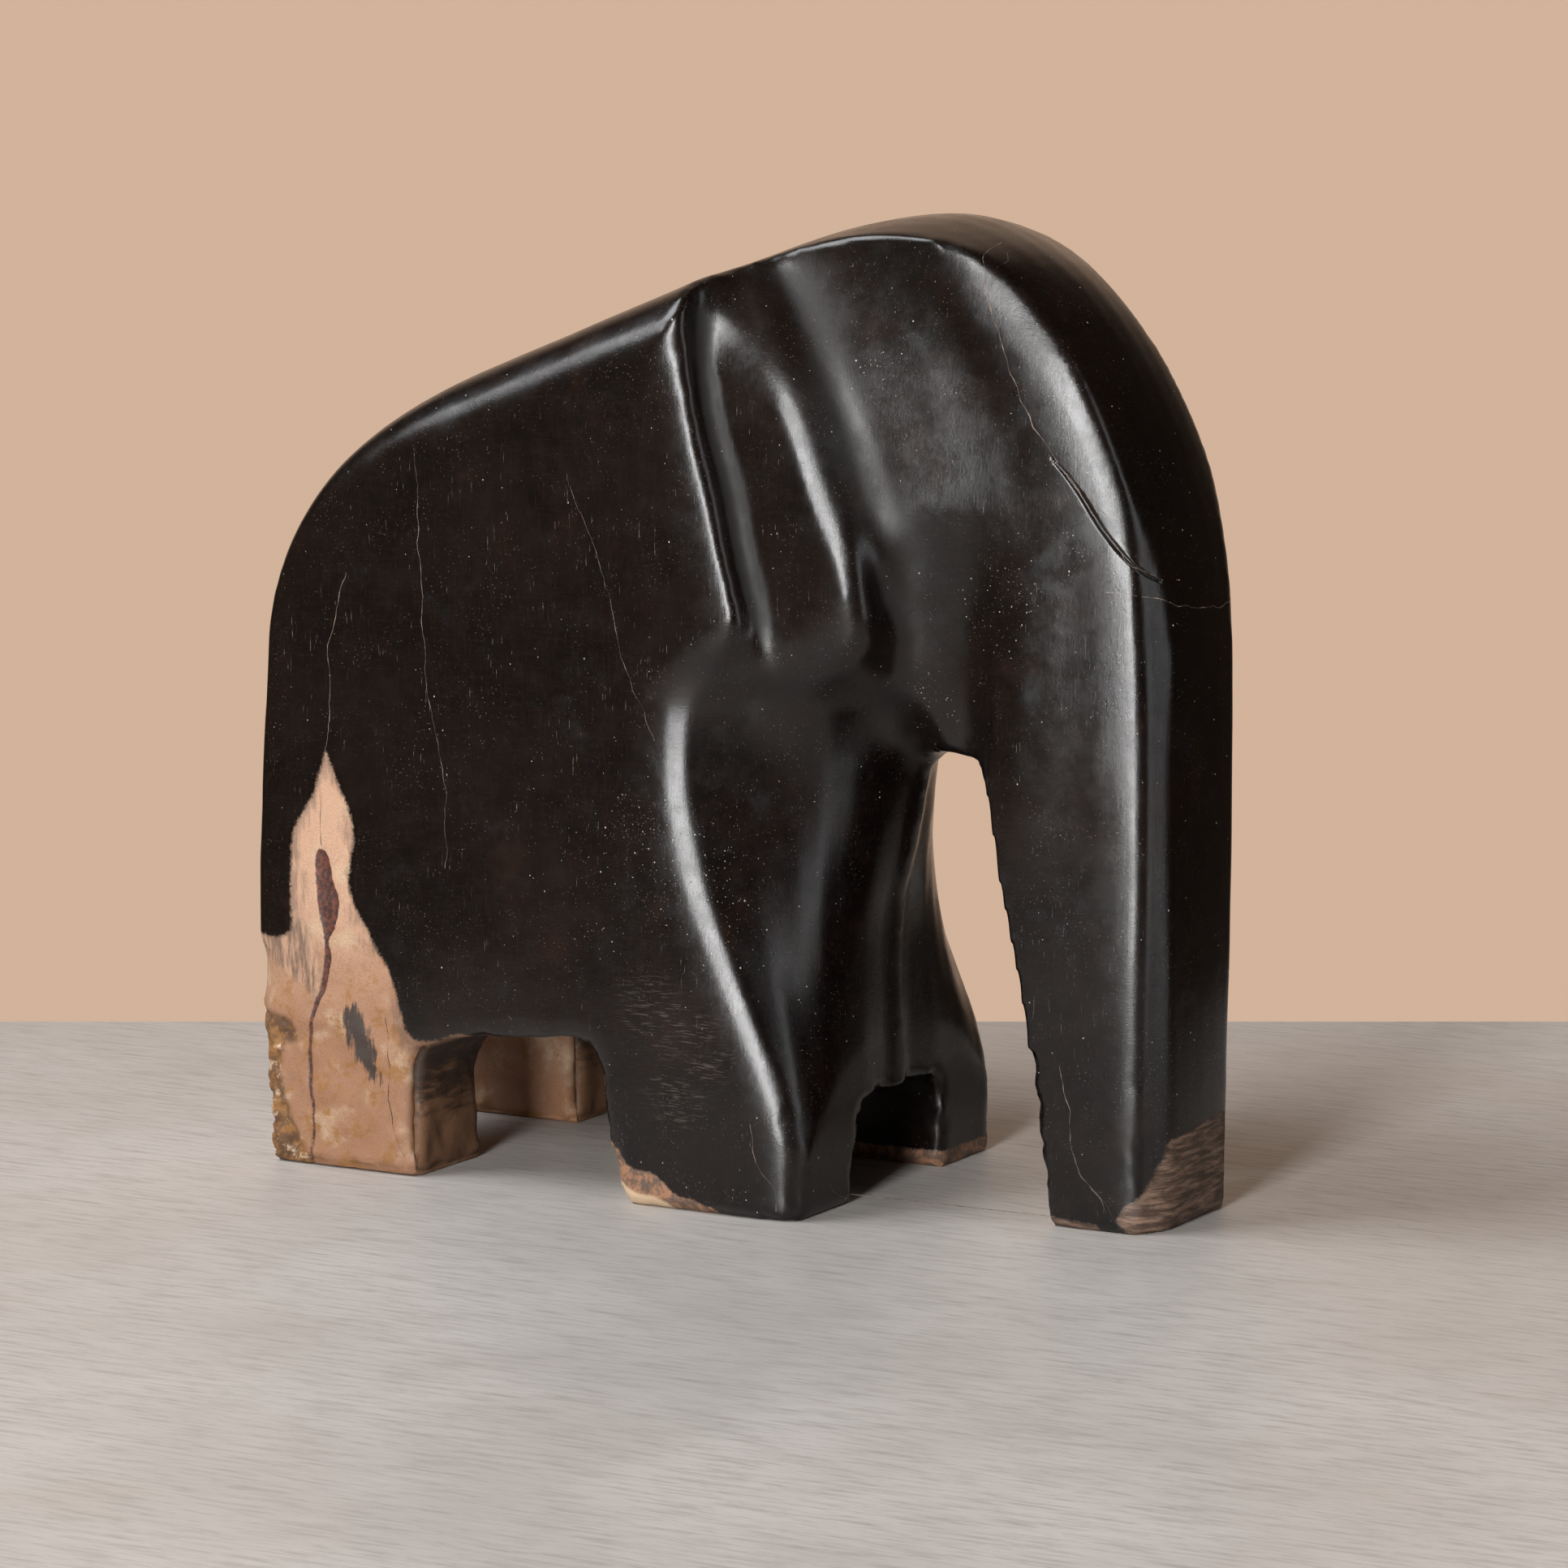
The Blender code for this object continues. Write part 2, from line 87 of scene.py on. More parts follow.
VEIN_LUMPS = 1.6 * MM
GAP_DEPTH = 0.55 * MM
GAP_HALF_WIDTH = 0.27 * MM
GAP_ENDS = (0.02, 0.98)     # shares of the gap's line between which it is open
RIND_WANDER = 11 * MM       # how long the bends are in the edge of the rind
FAR_TOE_HEIGHT = 3.2 * MM   # the tan edge under the far front foot
OUTSIDE = -20 * MM          # a depth that counts as well outside an outline
DULL_RADIUS = 4.5 * MM      # half the width of the dull dish of the face

# Outlines on the side view, as shares of the carving's length and height.
NEAR_RIND = [(-0.08, 0.24), (0.004, 0.24), (0.046, 0.247), (0.05, 0.30), (0.052, 0.35),
             (0.076, 0.389), (0.093, 0.44), (0.108, 0.41), (0.127, 0.365), (0.124, 0.30),
             (0.137, 0.262), (0.170, 0.216), (0.187, 0.17), (0.198, 0.15), (0.22, 0.145),
             (0.27, 0.14), (0.27, -0.06), (-0.08, -0.06)]
FAR_RIND = [(-0.08, 0.19), (0.0, 0.20), (0.04, 0.21), (0.075, 0.27), (0.11, 0.335), (0.14, 0.29),
            (0.165, 0.22), (0.20, 0.19), (0.27, 0.18), (0.27, -0.06), (-0.08, -0.06)]
SMOKE = [(-0.08, 0.27), (0.03, 0.27), (0.062, 0.262), (0.083, 0.225), (0.082, 0.178),
         (0.062, 0.186), (0.043, 0.198), (0.022, 0.209), (0.0, 0.22), (-0.08, 0.225)]
STAIN = [(0.111, 0.170), (0.128, 0.174), (0.143, 0.146), (0.155, 0.108), (0.151, 0.097),
         (0.126, 0.118), (0.115, 0.143)]
VEIN = [(0.0815, 0.335), (0.094, 0.331), (0.101, 0.304), (0.108, 0.281), (0.102, 0.254),
        (0.094, 0.241), (0.096, 0.221), (0.0855, 0.184), (0.0755, 0.16), (0.0705, 0.126),
        (0.071, 0.08), (0.0735, 0.05), (0.068, 0.0), (0.0655, 0.0), (0.0700, 0.05),
        (0.0665, 0.08), (0.066, 0.126), (0.071, 0.162), (0.081, 0.19), (0.088, 0.225),
        (0.088, 0.247), (0.082, 0.273), (0.079, 0.312)]
CRUST = [(-0.08, 0.17), (0.005, 0.162), (0.045, 0.15), (0.052, 0.13), (0.038, 0.122),
         (0.033, 0.09), (0.044, 0.055), (0.06, 0.025), (0.073, -0.004), (0.07, -0.06),
         (-0.08, -0.06)]
FRONT_TOE = [(0.40, 0.09), (0.432, 0.064), (0.459, 0.04), (0.488, 0.035), (0.513, 0.017),
             (0.541, 0.011), (0.568, -0.006), (0.56, -0.05), (0.38, -0.05)]
FRONT_CREAM = [(0.40, 0.048), (0.437, 0.028), (0.464, 0.014), (0.495, 0.009), (0.515, -0.01),
               (0.50, -0.05), (0.38, -0.05)]
TRUNK_TIP = [(1.06, 0.11), (0.995, 0.098), (0.992, 0.082), (0.984, 0.063), (0.977, 0.044),
             (0.961, 0.033), (0.952, 0.02), (0.966, 0.002), (0.96, -0.05), (1.06, -0.05)]
TIP_HEEL = [(0.86, 0.011), (0.93, 0.006), (0.95, -0.03), (0.86, -0.03)]
# Middles and radii in millimetres of the patches with file strokes.
FILE_STROKES = [(0.54, 0.165, 5.5), (0.485, 0.205, 5.0), (0.515, 0.118, 4.5)]
# The middle, radius and rounds of rubbing of the soft throat under the ear.
THROAT = (0.69, 0.555, 11 * MM, 45)
# The dish of the face right behind the ear's crest, rubbed duller.
DULL_DISH = [(0.60, 0.94), (0.62, 0.91), (0.665, 0.80), (0.725, 0.70), (0.74, 0.67)]
OPEN_GAP = [(0.880, 0.775), (0.91, 0.742), (0.935, 0.705), (0.955, 0.681), (0.985, 0.652)]

# ---------------------------------------------------------------- lines and outlines


def on_side(outline):
    """Shares of the length and height turned into metres."""
    return LOW[[0, 2]] + np.array(outline) * SPAN[[0, 2]]


def rounded(points, closed=True, steps=5):
    """A smooth line through the points."""
    points = np.array(points, float)
    count = len(points)
    out = []
    for i in range(count if closed else count - 1):
        picks = [i - 1, i, i + 1, i + 2]
        if closed:
            a, b, c, d = (points[k % count] for k in picks)
        else:
            a, b, c, d = (points[min(max(k, 0), count - 1)] for k in picks)
        for t in np.arange(steps) / steps:
            bend = (2 * a - 5 * b + 4 * c - d) * t ** 2 + (3 * b - a - 3 * c + d) * t ** 3
            out.append(b + ((c - a) * t + bend) / 2)
    if not closed:
        out.append(points[-1])
    return np.array(out)


def nearest_run(flat, line):
    """Each flat point's distance from the line, and how far along the line that is, 0 to 1."""
    runs = line[1:] - line[:-1]
    lengths = np.linalg.norm(runs, axis=1)
    starts = np.concatenate([[0], np.cumsum(lengths)])
    gap = np.full(len(flat), np.inf)
    along = np.zeros(len(flat))
    for start, run, length, before in zip(line, runs, lengths, starts):
        t = np.clip((flat - start) @ run / max(length, 1e-9) ** 2, 0, 1)
        far = np.linalg.norm(flat - start - t[:, None] * run, axis=1)
        closer = far < gap
        gap[closer] = far[closer]
        along[closer] = (before + t[closer] * length) / starts[-1]
    return gap, along


def depth_inside(flat, outline):
    """How far each flat point is inside the outline, in metres, below 0 outside it."""
    ring = np.vstack([outline, outline[:1]])
    gap, _ = nearest_run(flat, ring)
    x, z = flat.T
    inside = np.zeros(len(flat), bool)
    for a, b in zip(ring[:-1], ring[1:]):
        if a[1] != b[1]:
            crossed = (a[1] > z) != (b[1] > z)
            inside ^= crossed & (x < (b[0] - a[0]) * (z - a[1]) / (b[1] - a[1]) + a[0])
    return np.where(inside, gap, -gap)


def eased(value, start, end):
    t = np.clip((value - start) / (end - start), 0, 1)
    return t * t * (3 - 2 * t)


def lumps(points, length, seed=0, octaves=1):
    """Smooth noise from about -1 to 1, with lumps of this length."""
    shift = Vector((17.3, 5.9, 31.7)) * seed
    scale = 1 / length
    if octaves == 1:
        return np.array([noise.noise(Vector(p) * scale + shift) for p in points]) * 1.6
    return np.array([
        noise.fractal(Vector(p) * scale + shift, 0.9, 2.0, octaves) for p in points
    ])


def scoops(points, length, seed=0):
    """0 in the middle of each scoop of a gouge, about 1 on the ridges between."""
    shift = Vector((3.1, 11.7, 7.9)) * seed
    found = [noise.voronoi(Vector(p) / length + shift)[0] for p in points]
    return np.array([d[0] / max(d[1], 1e-6) for d in found])


# ---------------------------------------------------------------- the carved stone


def even_block():
    """A closed, evenly meshed copy of the carving's solid."""
    solid = bmesh.new()
    solid.from_mesh(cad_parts["elephant_carving"].data)
    bmesh.ops.remove_doubles(solid, verts=solid.verts, dist=1e-6)
    mesh = bpy.data.meshes.new("block")
    solid.to_mesh(mesh)
    solid.free()
    block = bpy.data.objects.new("block", mesh)
    bpy.context.scene.collection.objects.link(block)
    remesh = block.modifiers.new("even", "REMESH")
    remesh.mode = "VOXEL"
    remesh.voxel_size = MESH_STEP
    graph = bpy.context.evaluated_depsgraph_get()
    even = bpy.data.meshes.new_from_object(block.evaluated_get(graph))
    bpy.data.objects.remove(block)
    return even


def points_of(mesh):
    values = np.empty(len(mesh.vertices) * 3)
    mesh.vertices.foreach_get("co", values)
    return values.reshape(-1, 3)


def set_points(mesh, points):
    mesh.vertices.foreach_set("co", points.astype(np.float32).ravel())
    mesh.update()


def outward(mesh):
    values = np.empty(len(mesh.vertices) * 3, np.float32)
    mesh.vertex_normals.foreach_get("vector", values)
    return values.reshape(-1, 3).astype(float)


def neighbours_mean(mesh):
    """A function that gives the mean of each point's neighbours."""
    ends = np.empty(len(mesh.edges) * 2, np.int32)
    mesh.edges.foreach_get("vertices", ends)
    a, b = ends.reshape(-1, 2).T
    count = len(mesh.vertices)
    shared = np.maximum(np.bincount(a, minlength=count) + np.bincount(b, minlength=count), 1)

    def mean(values):
        columns = []
        for column in values.T:
            total = np.bincount(a, column[b], count) + np.bincount(b, column[a], count)
            columns.append(total / shared)
        return np.array(columns).T

    return mean


def polish(mesh):
    """Takes the facets out and keeps the volume, with every other round pushing back out."""
    mean = neighbours_mean(mesh)
    points = points_of(mesh)
    for _ in range(POLISH_ROUNDS):
        points += POLISH_IN * (mean(points) - points)
        points -= POLISH_OUT * (mean(points) - points)
    set_points(mesh, np.clip(points, LOW, HIGH))


def arrises(mesh):
    """How far each point stands out of its surroundings, in metres: 0 on a flat face."""
    mean = neighbours_mean(mesh)
    points = points_of(mesh)
    blurred = points.copy()
    for _ in range(ARRIS_ROUNDS):
        blurred += BLUR_SHARE * (mean(blurred) - blurred)
    return ((points - blurred) * outward(mesh)).sum(axis=1)


def soften(mesh, across, up, radius, rounds):
    """Rubs the marks out around a spot given as shares of the length and height."""
    mean = neighbours_mean(mesh)
    points = points_of(mesh)
    away = np.linalg.norm(points[:, [0, 2]] - on_side([(across, up)])[0], axis=1) / radius
    share = BLUR_SHARE * np.exp(-away ** 2)[:, None]
    for _ in range(rounds):
        points += share * (mean(points) - points)
    set_points(mesh, points)


def refine(mesh, wanted):
    """Halves the mesh's spacing on faces whose corners are all wanted."""
    fine = bmesh.new()
    fine.from_mesh(mesh)
    edges = set()
    for face in fine.faces:
        if all(wanted[v.index] for v in face.verts):
            edges.update(face.edges)
    bmesh.ops.subdivide_edges(fine, edges=list(edges), cuts=1, use_grid_fill=True)
    fine.to_mesh(mesh)
    fine.free()


def zones(points):
    """How far each point is inside each part of the stone's colouring, in metres."""
    flat = points[:, [0, 2]]
    x, y, z = points.T
    far_share = eased(y, LOW[1] + 0.25 * SPAN[1], LOW[1] + 0.62 * SPAN[1])
    near_side = y < LOW[1] + 0.3 * SPAN[1]
    wander = lumps(points, RIND_WANDER, 3, 3) * (0.7 + 3.2 * far_share) * MM
    rind = depth_inside(flat, rounded(on_side(NEAR_RIND))) * (1 - far_share)
    rind += depth_inside(flat, rounded(on_side(FAR_RIND))) * far_share + wander

    def on_near_side(outline):
        return np.where(near_side, depth_inside(flat, rounded(on_side(outline))), OUTSIDE)

    tip_rise = 0.006 * SPAN[2] * np.clip(y / (0.2 * SPAN[1]), -1, 1)
    tip_flat = flat - np.stack([0 * x, tip_rise], axis=1)
    tip = np.maximum(depth_inside(tip_flat, on_side(TRUNK_TIP)),
                     depth_inside(flat, on_side(TIP_HEEL)))
    far_front_foot = (y > 0) & (np.abs(x) < 0.2 * SPAN[0])
    far_toe = np.where(far_front_foot, FAR_TOE_HEIGHT - z, OUTSIDE)
    return {
        "rind": rind,
        "smoke": depth_inside(flat, rounded(on_side(SMOKE))) + wander,
        "stain": on_near_side(STAIN),
        "vein": on_near_side(VEIN),
        "crust": depth_inside(flat, rounded(on_side(CRUST))) + wander,
        "toe": np.maximum(on_near_side(FRONT_TOE), far_toe),
        "cream": on_near_side(FRONT_CREAM),
        "tip": tip,
    }


def painted_shade_on_inner_faces(points, normals):
    """Painted shade: where the hind feet face each other or the belly, and how far down those faces
    are, 0 to 1, which lightens the painted shade towards the floor.
    """
    x, y, z = points.T
    rear = x < LOW[0] + 0.35 * SPAN[0]
    forward = np.clip(normals[:, 0], 0, 1) * (x > LOW[0] + 0.1 * SPAN[0])
    across = np.clip(-normals[:, 1] * np.sign(y), 0, 1) * (np.abs(y) < 0.32 * SPAN[1])
    share = np.maximum(forward, 0.3 * across) * rear * (z < 0.2 * SPAN[2])
    return {"inner_painted_shade": share, "inner_painted_light": 1 - eased(z, 0.02 * SPAN[2], 0.12 * SPAN[2])}


def dulled(points):
    """How much of the polish has gone from the dish of the face, 0 to 1."""
    away, _ = nearest_run(points[:, [0, 2]], rounded(on_side(DULL_DISH), closed=False))
    return np.exp(-(away / DULL_RADIUS) ** 2)


def hatched(points):
    """How thickly the front leg carries the short level strokes of a file, 0 to 1."""
    flat = points[:, [0, 2]]
    share = np.zeros(len(points))
    for across, up, radius in FILE_STROKES:
        away = np.linalg.norm(flat - on_side([(across, up)])[0], axis=1) / (radius * MM)
        share += np.exp(-away ** 2)
    return np.clip(share, 0, 0.45) * (points[:, 1] < 0)


def along_gap(points):
    """Each point's distance from the open gap's line, seen from the side, and how far along it is."""
    return nearest_run(points[:, [0, 2]], rounded(on_side(OPEN_GAP), closed=False))


def hollows(points, normals, ridge, zone):
    """How far the carver's marks and the wear go in at each point, in metres."""
    z = points[:, 2]
    under = normals[:, 2] < -0.8
    depth = HAND_WAVE * (0.5 + 0.5 * lumps(points, WAVE_LENGTH, 1)) * ~under

    foot = 1 - eased(z, 0.5 * FOOT_HEIGHT, FOOT_HEIGHT)
    notch = NOTCH_CHIPS * (1 - eased(z, 0.8 * NOTCH_HEIGHT, NOTCH_HEIGHT))
    raw = np.maximum(foot, notch * (normals[:, 2] < 0.3))
    chip = np.clip(lumps(points, CHIP_LENGTH, 5, 3) + 0.25, 0, 1)
    depth += CHIP_DEPTH * chip * raw * eased(ridge, *CHIPPED_RIDGE)

    fade_start, fade_end = RIND_TOP
    low_rind = 1 - eased(z, fade_start * SPAN[2], fade_end * SPAN[2])
    low_rind *= eased(zone["rind"], 0, 3 * MM)
    depth += SCOOP_DEPTH * (1 - scoops(points, SCOOP_LENGTH, 2)) * low_rind * ~under
    depth += WORN_ARRIS * low_rind * eased(ridge, *WORN_RIDGE)
    depth += LUMP_DEPTH * (0.6 + lumps(points, LUMP_LENGTH, 14, 2)) * low_rind * ~under
    depth += RIND_STEP * eased(zone["rind"], -0.4 * MM, 0.8 * MM)

    crust = eased(zone["crust"], -0.5 * MM, 1.5 * MM)
    pits = np.clip(0.35 + lumps(points, PIT_LENGTH, 8, 4), 0, 1)
    depth += PIT_DEPTH * pits * crust * (z > 0.5 * MM)

    vein = eased(zone["vein"], -0.25 * MM, 0.35 * MM)
    depth += VEIN_DEPTH * vein * (0.8 + 0.5 * lumps(points, VEIN_LUMPS, 9, 2))

    away, along = along_gap(points)
    wide = GAP_HALF_WIDTH * np.sin(np.pi * np.clip(along, *GAP_ENDS)) ** 0.7
    near_side = points[:, 1] < 0
    depth += GAP_DEPTH * np.exp(-(away / wide) ** 2) * near_side * (along > GAP_ENDS[0])
    return depth


def carved_stone():
    mesh = even_block()
    polish(mesh)
    soften(mesh, *THROAT)
    points = points_of(mesh)
    zone = zones(points)
    away, _ = along_gap(points)
    wanted = (
        (zone["crust"] > -1 * MM)
        | (np.abs(zone["vein"]) < 1.5 * MM)
        | (points[:, 2] < 0.6 * FOOT_HEIGHT)
        | ((away < 2 * MM) & (points[:, 1] < 0))
    )
    refine(mesh, wanted)
    points = points_of(mesh)
    away, _ = along_gap(points)
    refine(mesh, (away < 1.2 * MM) & (points[:, 1] < 0))
    points = points_of(mesh)
    normals = outward(mesh)
    ridge = arrises(mesh)
    zone = zones(points)
    depth = hollows(points, normals, ridge, zone)
    points = np.clip(points - normals * depth[:, None], LOW, HIGH)
    set_points(mesh, points)
    for name, values in zone.items():
        keep(mesh, name, values / MM)
    keep(mesh, "ridge", ridge / MM)
    keep(mesh, "hollow", depth / MM)
    keep(mesh, "fleck_share", fleck_share(points, zone))
    # Painted shade on the hind feet's inner faces, lighter towards the floor.
    for name, values in painted_shade_on_inner_faces(points, normals).items():
        keep(mesh, name, values)
    keep(mesh, "hatch", hatched(points))
    keep(mesh, "dull", dulled(points))
    mesh.shade_smooth()
    stone = bpy.data.objects.new("petrified_elephant", mesh)
    bpy.context.scene.collection.objects.link(stone)
    return stone


def keep(mesh, name, values):
    attribute = mesh.attributes.new(name, "FLOAT", "POINT")
    attribute.data.foreach_set("value", values.astype(np.float32))


# ---------------------------------------------------------------- mineral flecks

# Clusters on the near side: share of the length, share of the height, radius in millimetres.
FLECK_CLUSTERS = [(0.47, 0.385, 7), (0.515, 0.37, 6), (0.835, 0.63, 6), (0.82, 0.60, 4),
                  (0.95, 0.53, 4), (0.395, 0.592, 1.6), (0.215, 0.53, 1.4), (0.91, 0.68, 5),
                  (0.55, 0.33, 7), (0.70, 0.86, 5), (0.74, 0.52, 5)]


def fleck_share(points, zone):
    """How thickly the white flecks sit at each point, 0 to 1."""
    flat = points[:, [0, 2]]
    near_side = points[:, 1] < 0
    share = 0.035 + 0.55 * np.clip(lumps(points, 24 * MM, 12, 2) - 0.42, 0, 1)
    for across, up, radius in FLECK_CLUSTERS:
        middle = on_side([(across, up)])[0]
        away = np.linalg.norm(flat - middle, axis=1) / (radius * MM)
        share += 0.9 * np.exp(-away ** 2) * near_side
    dark = np.maximum.reduce([zone["rind"], zone["toe"], zone["tip"]]) < -0.5 * MM
    return np.clip(share, 0, 1) * dark


def tree_of(name, inputs):
    tree = bpy.data.node_groups.new(name, "GeometryNodeTree")
    tree.interface.new_socket("Geometry", in_out="INPUT", socket_type="NodeSocketGeometry")
    for label, kind, value in inputs:
        socket = tree.interface.new_socket(label, in_out="INPUT", socket_type=kind)
        if value is not None:
            socket.default_value = value
    tree.interface.new_socket("Geometry", in_out="OUTPUT", socket_type="NodeSocketGeometry")
    return tree


def put(tree, kind, inputs=(), **settings):
    """Adds a node, sets it, and joins or sets its inputs, by name or number."""
    made = tree.nodes.new(kind)
    for name, value in settings.items():
        setattr(made, name, value)
    for key, value in dict(inputs).items():
        if isinstance(value, bpy.types.NodeSocket):
            tree.links.new(value, made.inputs[key])
        else:
            made.inputs[key].default_value = value
    return made


def fleck_tree():
    tree = tree_of("scatter_flecks", [
        ("Flecks per square metre", "NodeSocketFloat", 200000.0),
        ("Smallest", "NodeSocketFloat", 0.00008),
        ("Largest", "NodeSocketFloat", 0.0003),
        ("Flatness", "NodeSocketFloat", 0.4),
        ("Seed", "NodeSocketInt", 1),
        ("Material", "NodeSocketMaterial", None),
    ])
    given = put(tree, "NodeGroupInput").outputs
    share = put(tree, "GeometryNodeInputNamedAttribute", {"Name": "fleck_share"})
    density = put(tree, "ShaderNodeMath", {
        0: share.outputs["Attribute"], 1: given["Flecks per square metre"],
    }, operation="MULTIPLY")
    spread = put(tree, "GeometryNodeDistributePointsOnFaces", {
        "Mesh": given["Geometry"], "Density": density.outputs[0], "Seed": given["Seed"],
    })
    size = put(tree, "FunctionNodeRandomValue", {
        2: 0.0, 3: 1.0, "Seed": given["Seed"],
    }, data_type="FLOAT")
    skewed = put(tree, "ShaderNodeMath", {0: size.outputs[1], 1: 3.0}, operation="POWER")
    radius = put(tree, "ShaderNodeMapRange", {
        "Value": skewed.outputs[0], "To Min": given["Smallest"], "To Max": given["Largest"],
    })
    thickness = put(tree, "ShaderNodeMath", {
        0: radius.outputs["Result"], 1: given["Flatness"],
    }, operation="MULTIPLY")
    stretch = put(tree, "FunctionNodeRandomValue", {
        2: 0.5, 3: 1.5, "Seed": 7,
    }, data_type="FLOAT")
    longer = put(tree, "ShaderNodeMath", {
        0: radius.outputs["Result"], 1: stretch.outputs[1],
    }, operation="MULTIPLY")
    scale = put(tree, "ShaderNodeCombineXYZ", {
        "X": radius.outputs["Result"], "Y": longer.outputs[0], "Z": thickness.outputs[0],
    })
    crystal = put(tree, "GeometryNodeMeshIcoSphere", {"Radius": 1.0, "Subdivisions": 1})
    placed = put(tree, "GeometryNodeInstanceOnPoints", {
        "Points": spread.outputs["Points"], "Instance": crystal.outputs["Mesh"],
        "Rotation": spread.outputs["Rotation"], "Scale": scale.outputs["Vector"],
    })
    real = put(tree, "GeometryNodeRealizeInstances", {"Geometry": placed.outputs["Instances"]})
    finished = put(tree, "GeometryNodeSetMaterial", {
        "Geometry": real.outputs["Geometry"], "Material": given["Material"],
    })
    put(tree, "NodeGroupOutput", {"Geometry": finished.outputs["Geometry"]})
    return tree


def made_by(tree, source, name, settings):
    """The plain mesh that the tree makes from the source object's mesh."""
    maker = bpy.data.objects.new(name, source.data.copy())
    bpy.context.scene.collection.objects.link(maker)
    modifier = maker.modifiers.new("maker", "NODES")
    modifier.node_group = tree
    for item in tree.interface.items_tree:
        if item.in_out == "INPUT" and item.name in settings:
            modifier[item.identifier] = settings[item.name]
    graph = bpy.context.evaluated_depsgraph_get()
    mesh = bpy.data.meshes.new_from_object(maker.evaluated_get(graph))
    maker.modifiers.clear()
    maker.data = mesh
    set_points(mesh, np.clip(points_of(mesh), LOW, HIGH))
    return maker


# ---------------------------------------------------------------- fissures

# Lines as shares, each with its weight: on the side (length, height), on the front (width, height),
# on top (length, width).
SIDE_HAIRLINES = [
    ([(0.207, 0.76), (0.213, 0.63), (0.217, 0.53), (0.225, 0.483), (0.24, 0.417),
      (0.241, 0.325)], 1.0),
    ([(0.12, 0.627), (0.104, 0.567), (0.098, 0.54), (0.10, 0.483), (0.093, 0.435)], 1.2),
    ([(0.392, 0.73), (0.416, 0.676), (0.44, 0.612), (0.45, 0.563), (0.479, 0.50),
      (0.488, 0.475)], 0.7),
    ([(0.786, 0.98), (0.795, 0.951), (0.807, 0.92), (0.83, 0.865), (0.863, 0.803), (0.905, 0.748),
      (0.946, 0.69), (0.969, 0.667), (0.997, 0.644)], 2.0),
    ([(0.885, 0.771), (0.913, 0.744), (0.941, 0.718)], 1.0),
    ([(0.892, 0.166), (0.897, 0.137), (0.903, 0.118), (0.905, 0.082), (0.914, 0.055),
      (0.932, 0.038), (0.941, 0.019)], 1.3),
    ([(0.60, 0.10), (0.603, 0.07), (0.615, 0.045), (0.628, 0.03), (0.63, 0.008)], 1.0),
]
FRONT_HAIRLINES = [
    ([(0.252, 0.644), (0.395, 0.626), (0.52, 0.618), (0.647, 0.618), (0.73, 0.631)], 1.6),
    ([(0.16, 0.03), (0.21, 0.012), (0.27, 0.009), (0.36, 0.02)], 0.8),
]
TOP_HAIRLINES = [([(0.80, 0.40), (0.81, 0.31), (0.80, 0.26)], 0.8)]
FAR_HAIRLINES = [
    ([(0.62, 0.83), (0.60, 0.72), (0.565, 0.60), (0.55, 0.50)], 1.0),
    ([(0.25, 0.66), (0.24, 0.55), (0.262, 0.47)], 0.9),
]
# Painted shadow in the open cracks on the near side, as dark tubes laid along these lines.
CRACK_SHADOW_LINES = [
    ([(0.088, 0.398), (0.0875, 0.37), (0.0885, 0.338)], 1.2),
    ([(0.163, 0.168), (0.166, 0.13), (0.166, 0.076), (0.172, 0.045), (0.186, 0.02)], 1.6),
    ([(0.914, 0.055), (0.936, 0.036), (0.952, 0.012), (0.966, 0.001)], 3.2),
]
HAIRLINE_RADIUS = 0.085 * MM
HAIRLINE_STEP = 0.7 * MM
HAIRLINE_WANDER = 0.55 * MM
WANDER_SEED = 5             # noise vectors are different in every run without one
HAIRLINE_SINK = 0.55        # how deep a line lies, as a share of its radius
PATH_START = 10 * MM        # how far outside the stone the lines are drawn before they are laid on


def laid_on(faces, lines, place, towards):
    """Points of the lines, wandering a little, laid on the stone from outside, with their radii."""
    points, edges, radii = [], [], []
    for number, (shares, weight) in enumerate(lines):
        path = rounded([place(share) for share in shares], closed=False, steps=24)
        length = np.linalg.norm(np.diff(path, axis=0), axis=1).cumsum()
        before = len(points)
        last = -HAIRLINE_STEP
        for point, reached in zip(path[1:], length):
            if reached - last < HAIRLINE_STEP:
                continue
            last = reached
            spot = Vector(point)
            sway = noise.noise_vector(spot / (3.5 * MM) + Vector((number, 3, 5)))
            jitter = noise.noise_vector(spot / (1.1 * MM) + Vector((number, 1, 2)))
            spot += sway * HAIRLINE_WANDER + jitter * 0.35 * HAIRLINE_WANDER
            hit, normal, _, _ = faces.ray_cast(spot, towards)
            if hit is None:
                continue
            thick = 0.55 + 0.9 * noise.noise(spot / (2.2 * MM))
            radius = HAIRLINE_RADIUS * weight * min(max(thick, 0.25), 1.3)
            points.append(hit - normal * HAIRLINE_SINK * radius)
            radii.append(radius)
            if len(points) - 1 > before:
                edges.append((len(points) - 2, len(points) - 1))
    return points, edges, radii


def path_object(name, parts):
    """One object of edges from the lines laid on each side, which keeps their radii."""
    points, edges, radii = [], [], []
    for some, joined, widths in parts:
        edges += [(a + len(points), b + len(points)) for a, b in joined]
        points += some
        radii += widths
    mesh = bpy.data.meshes.new(name)
    mesh.from_pydata(points, edges, [])
    keep(mesh, "half_width", np.array(radii))
    return bpy.data.objects.new(name, mesh)


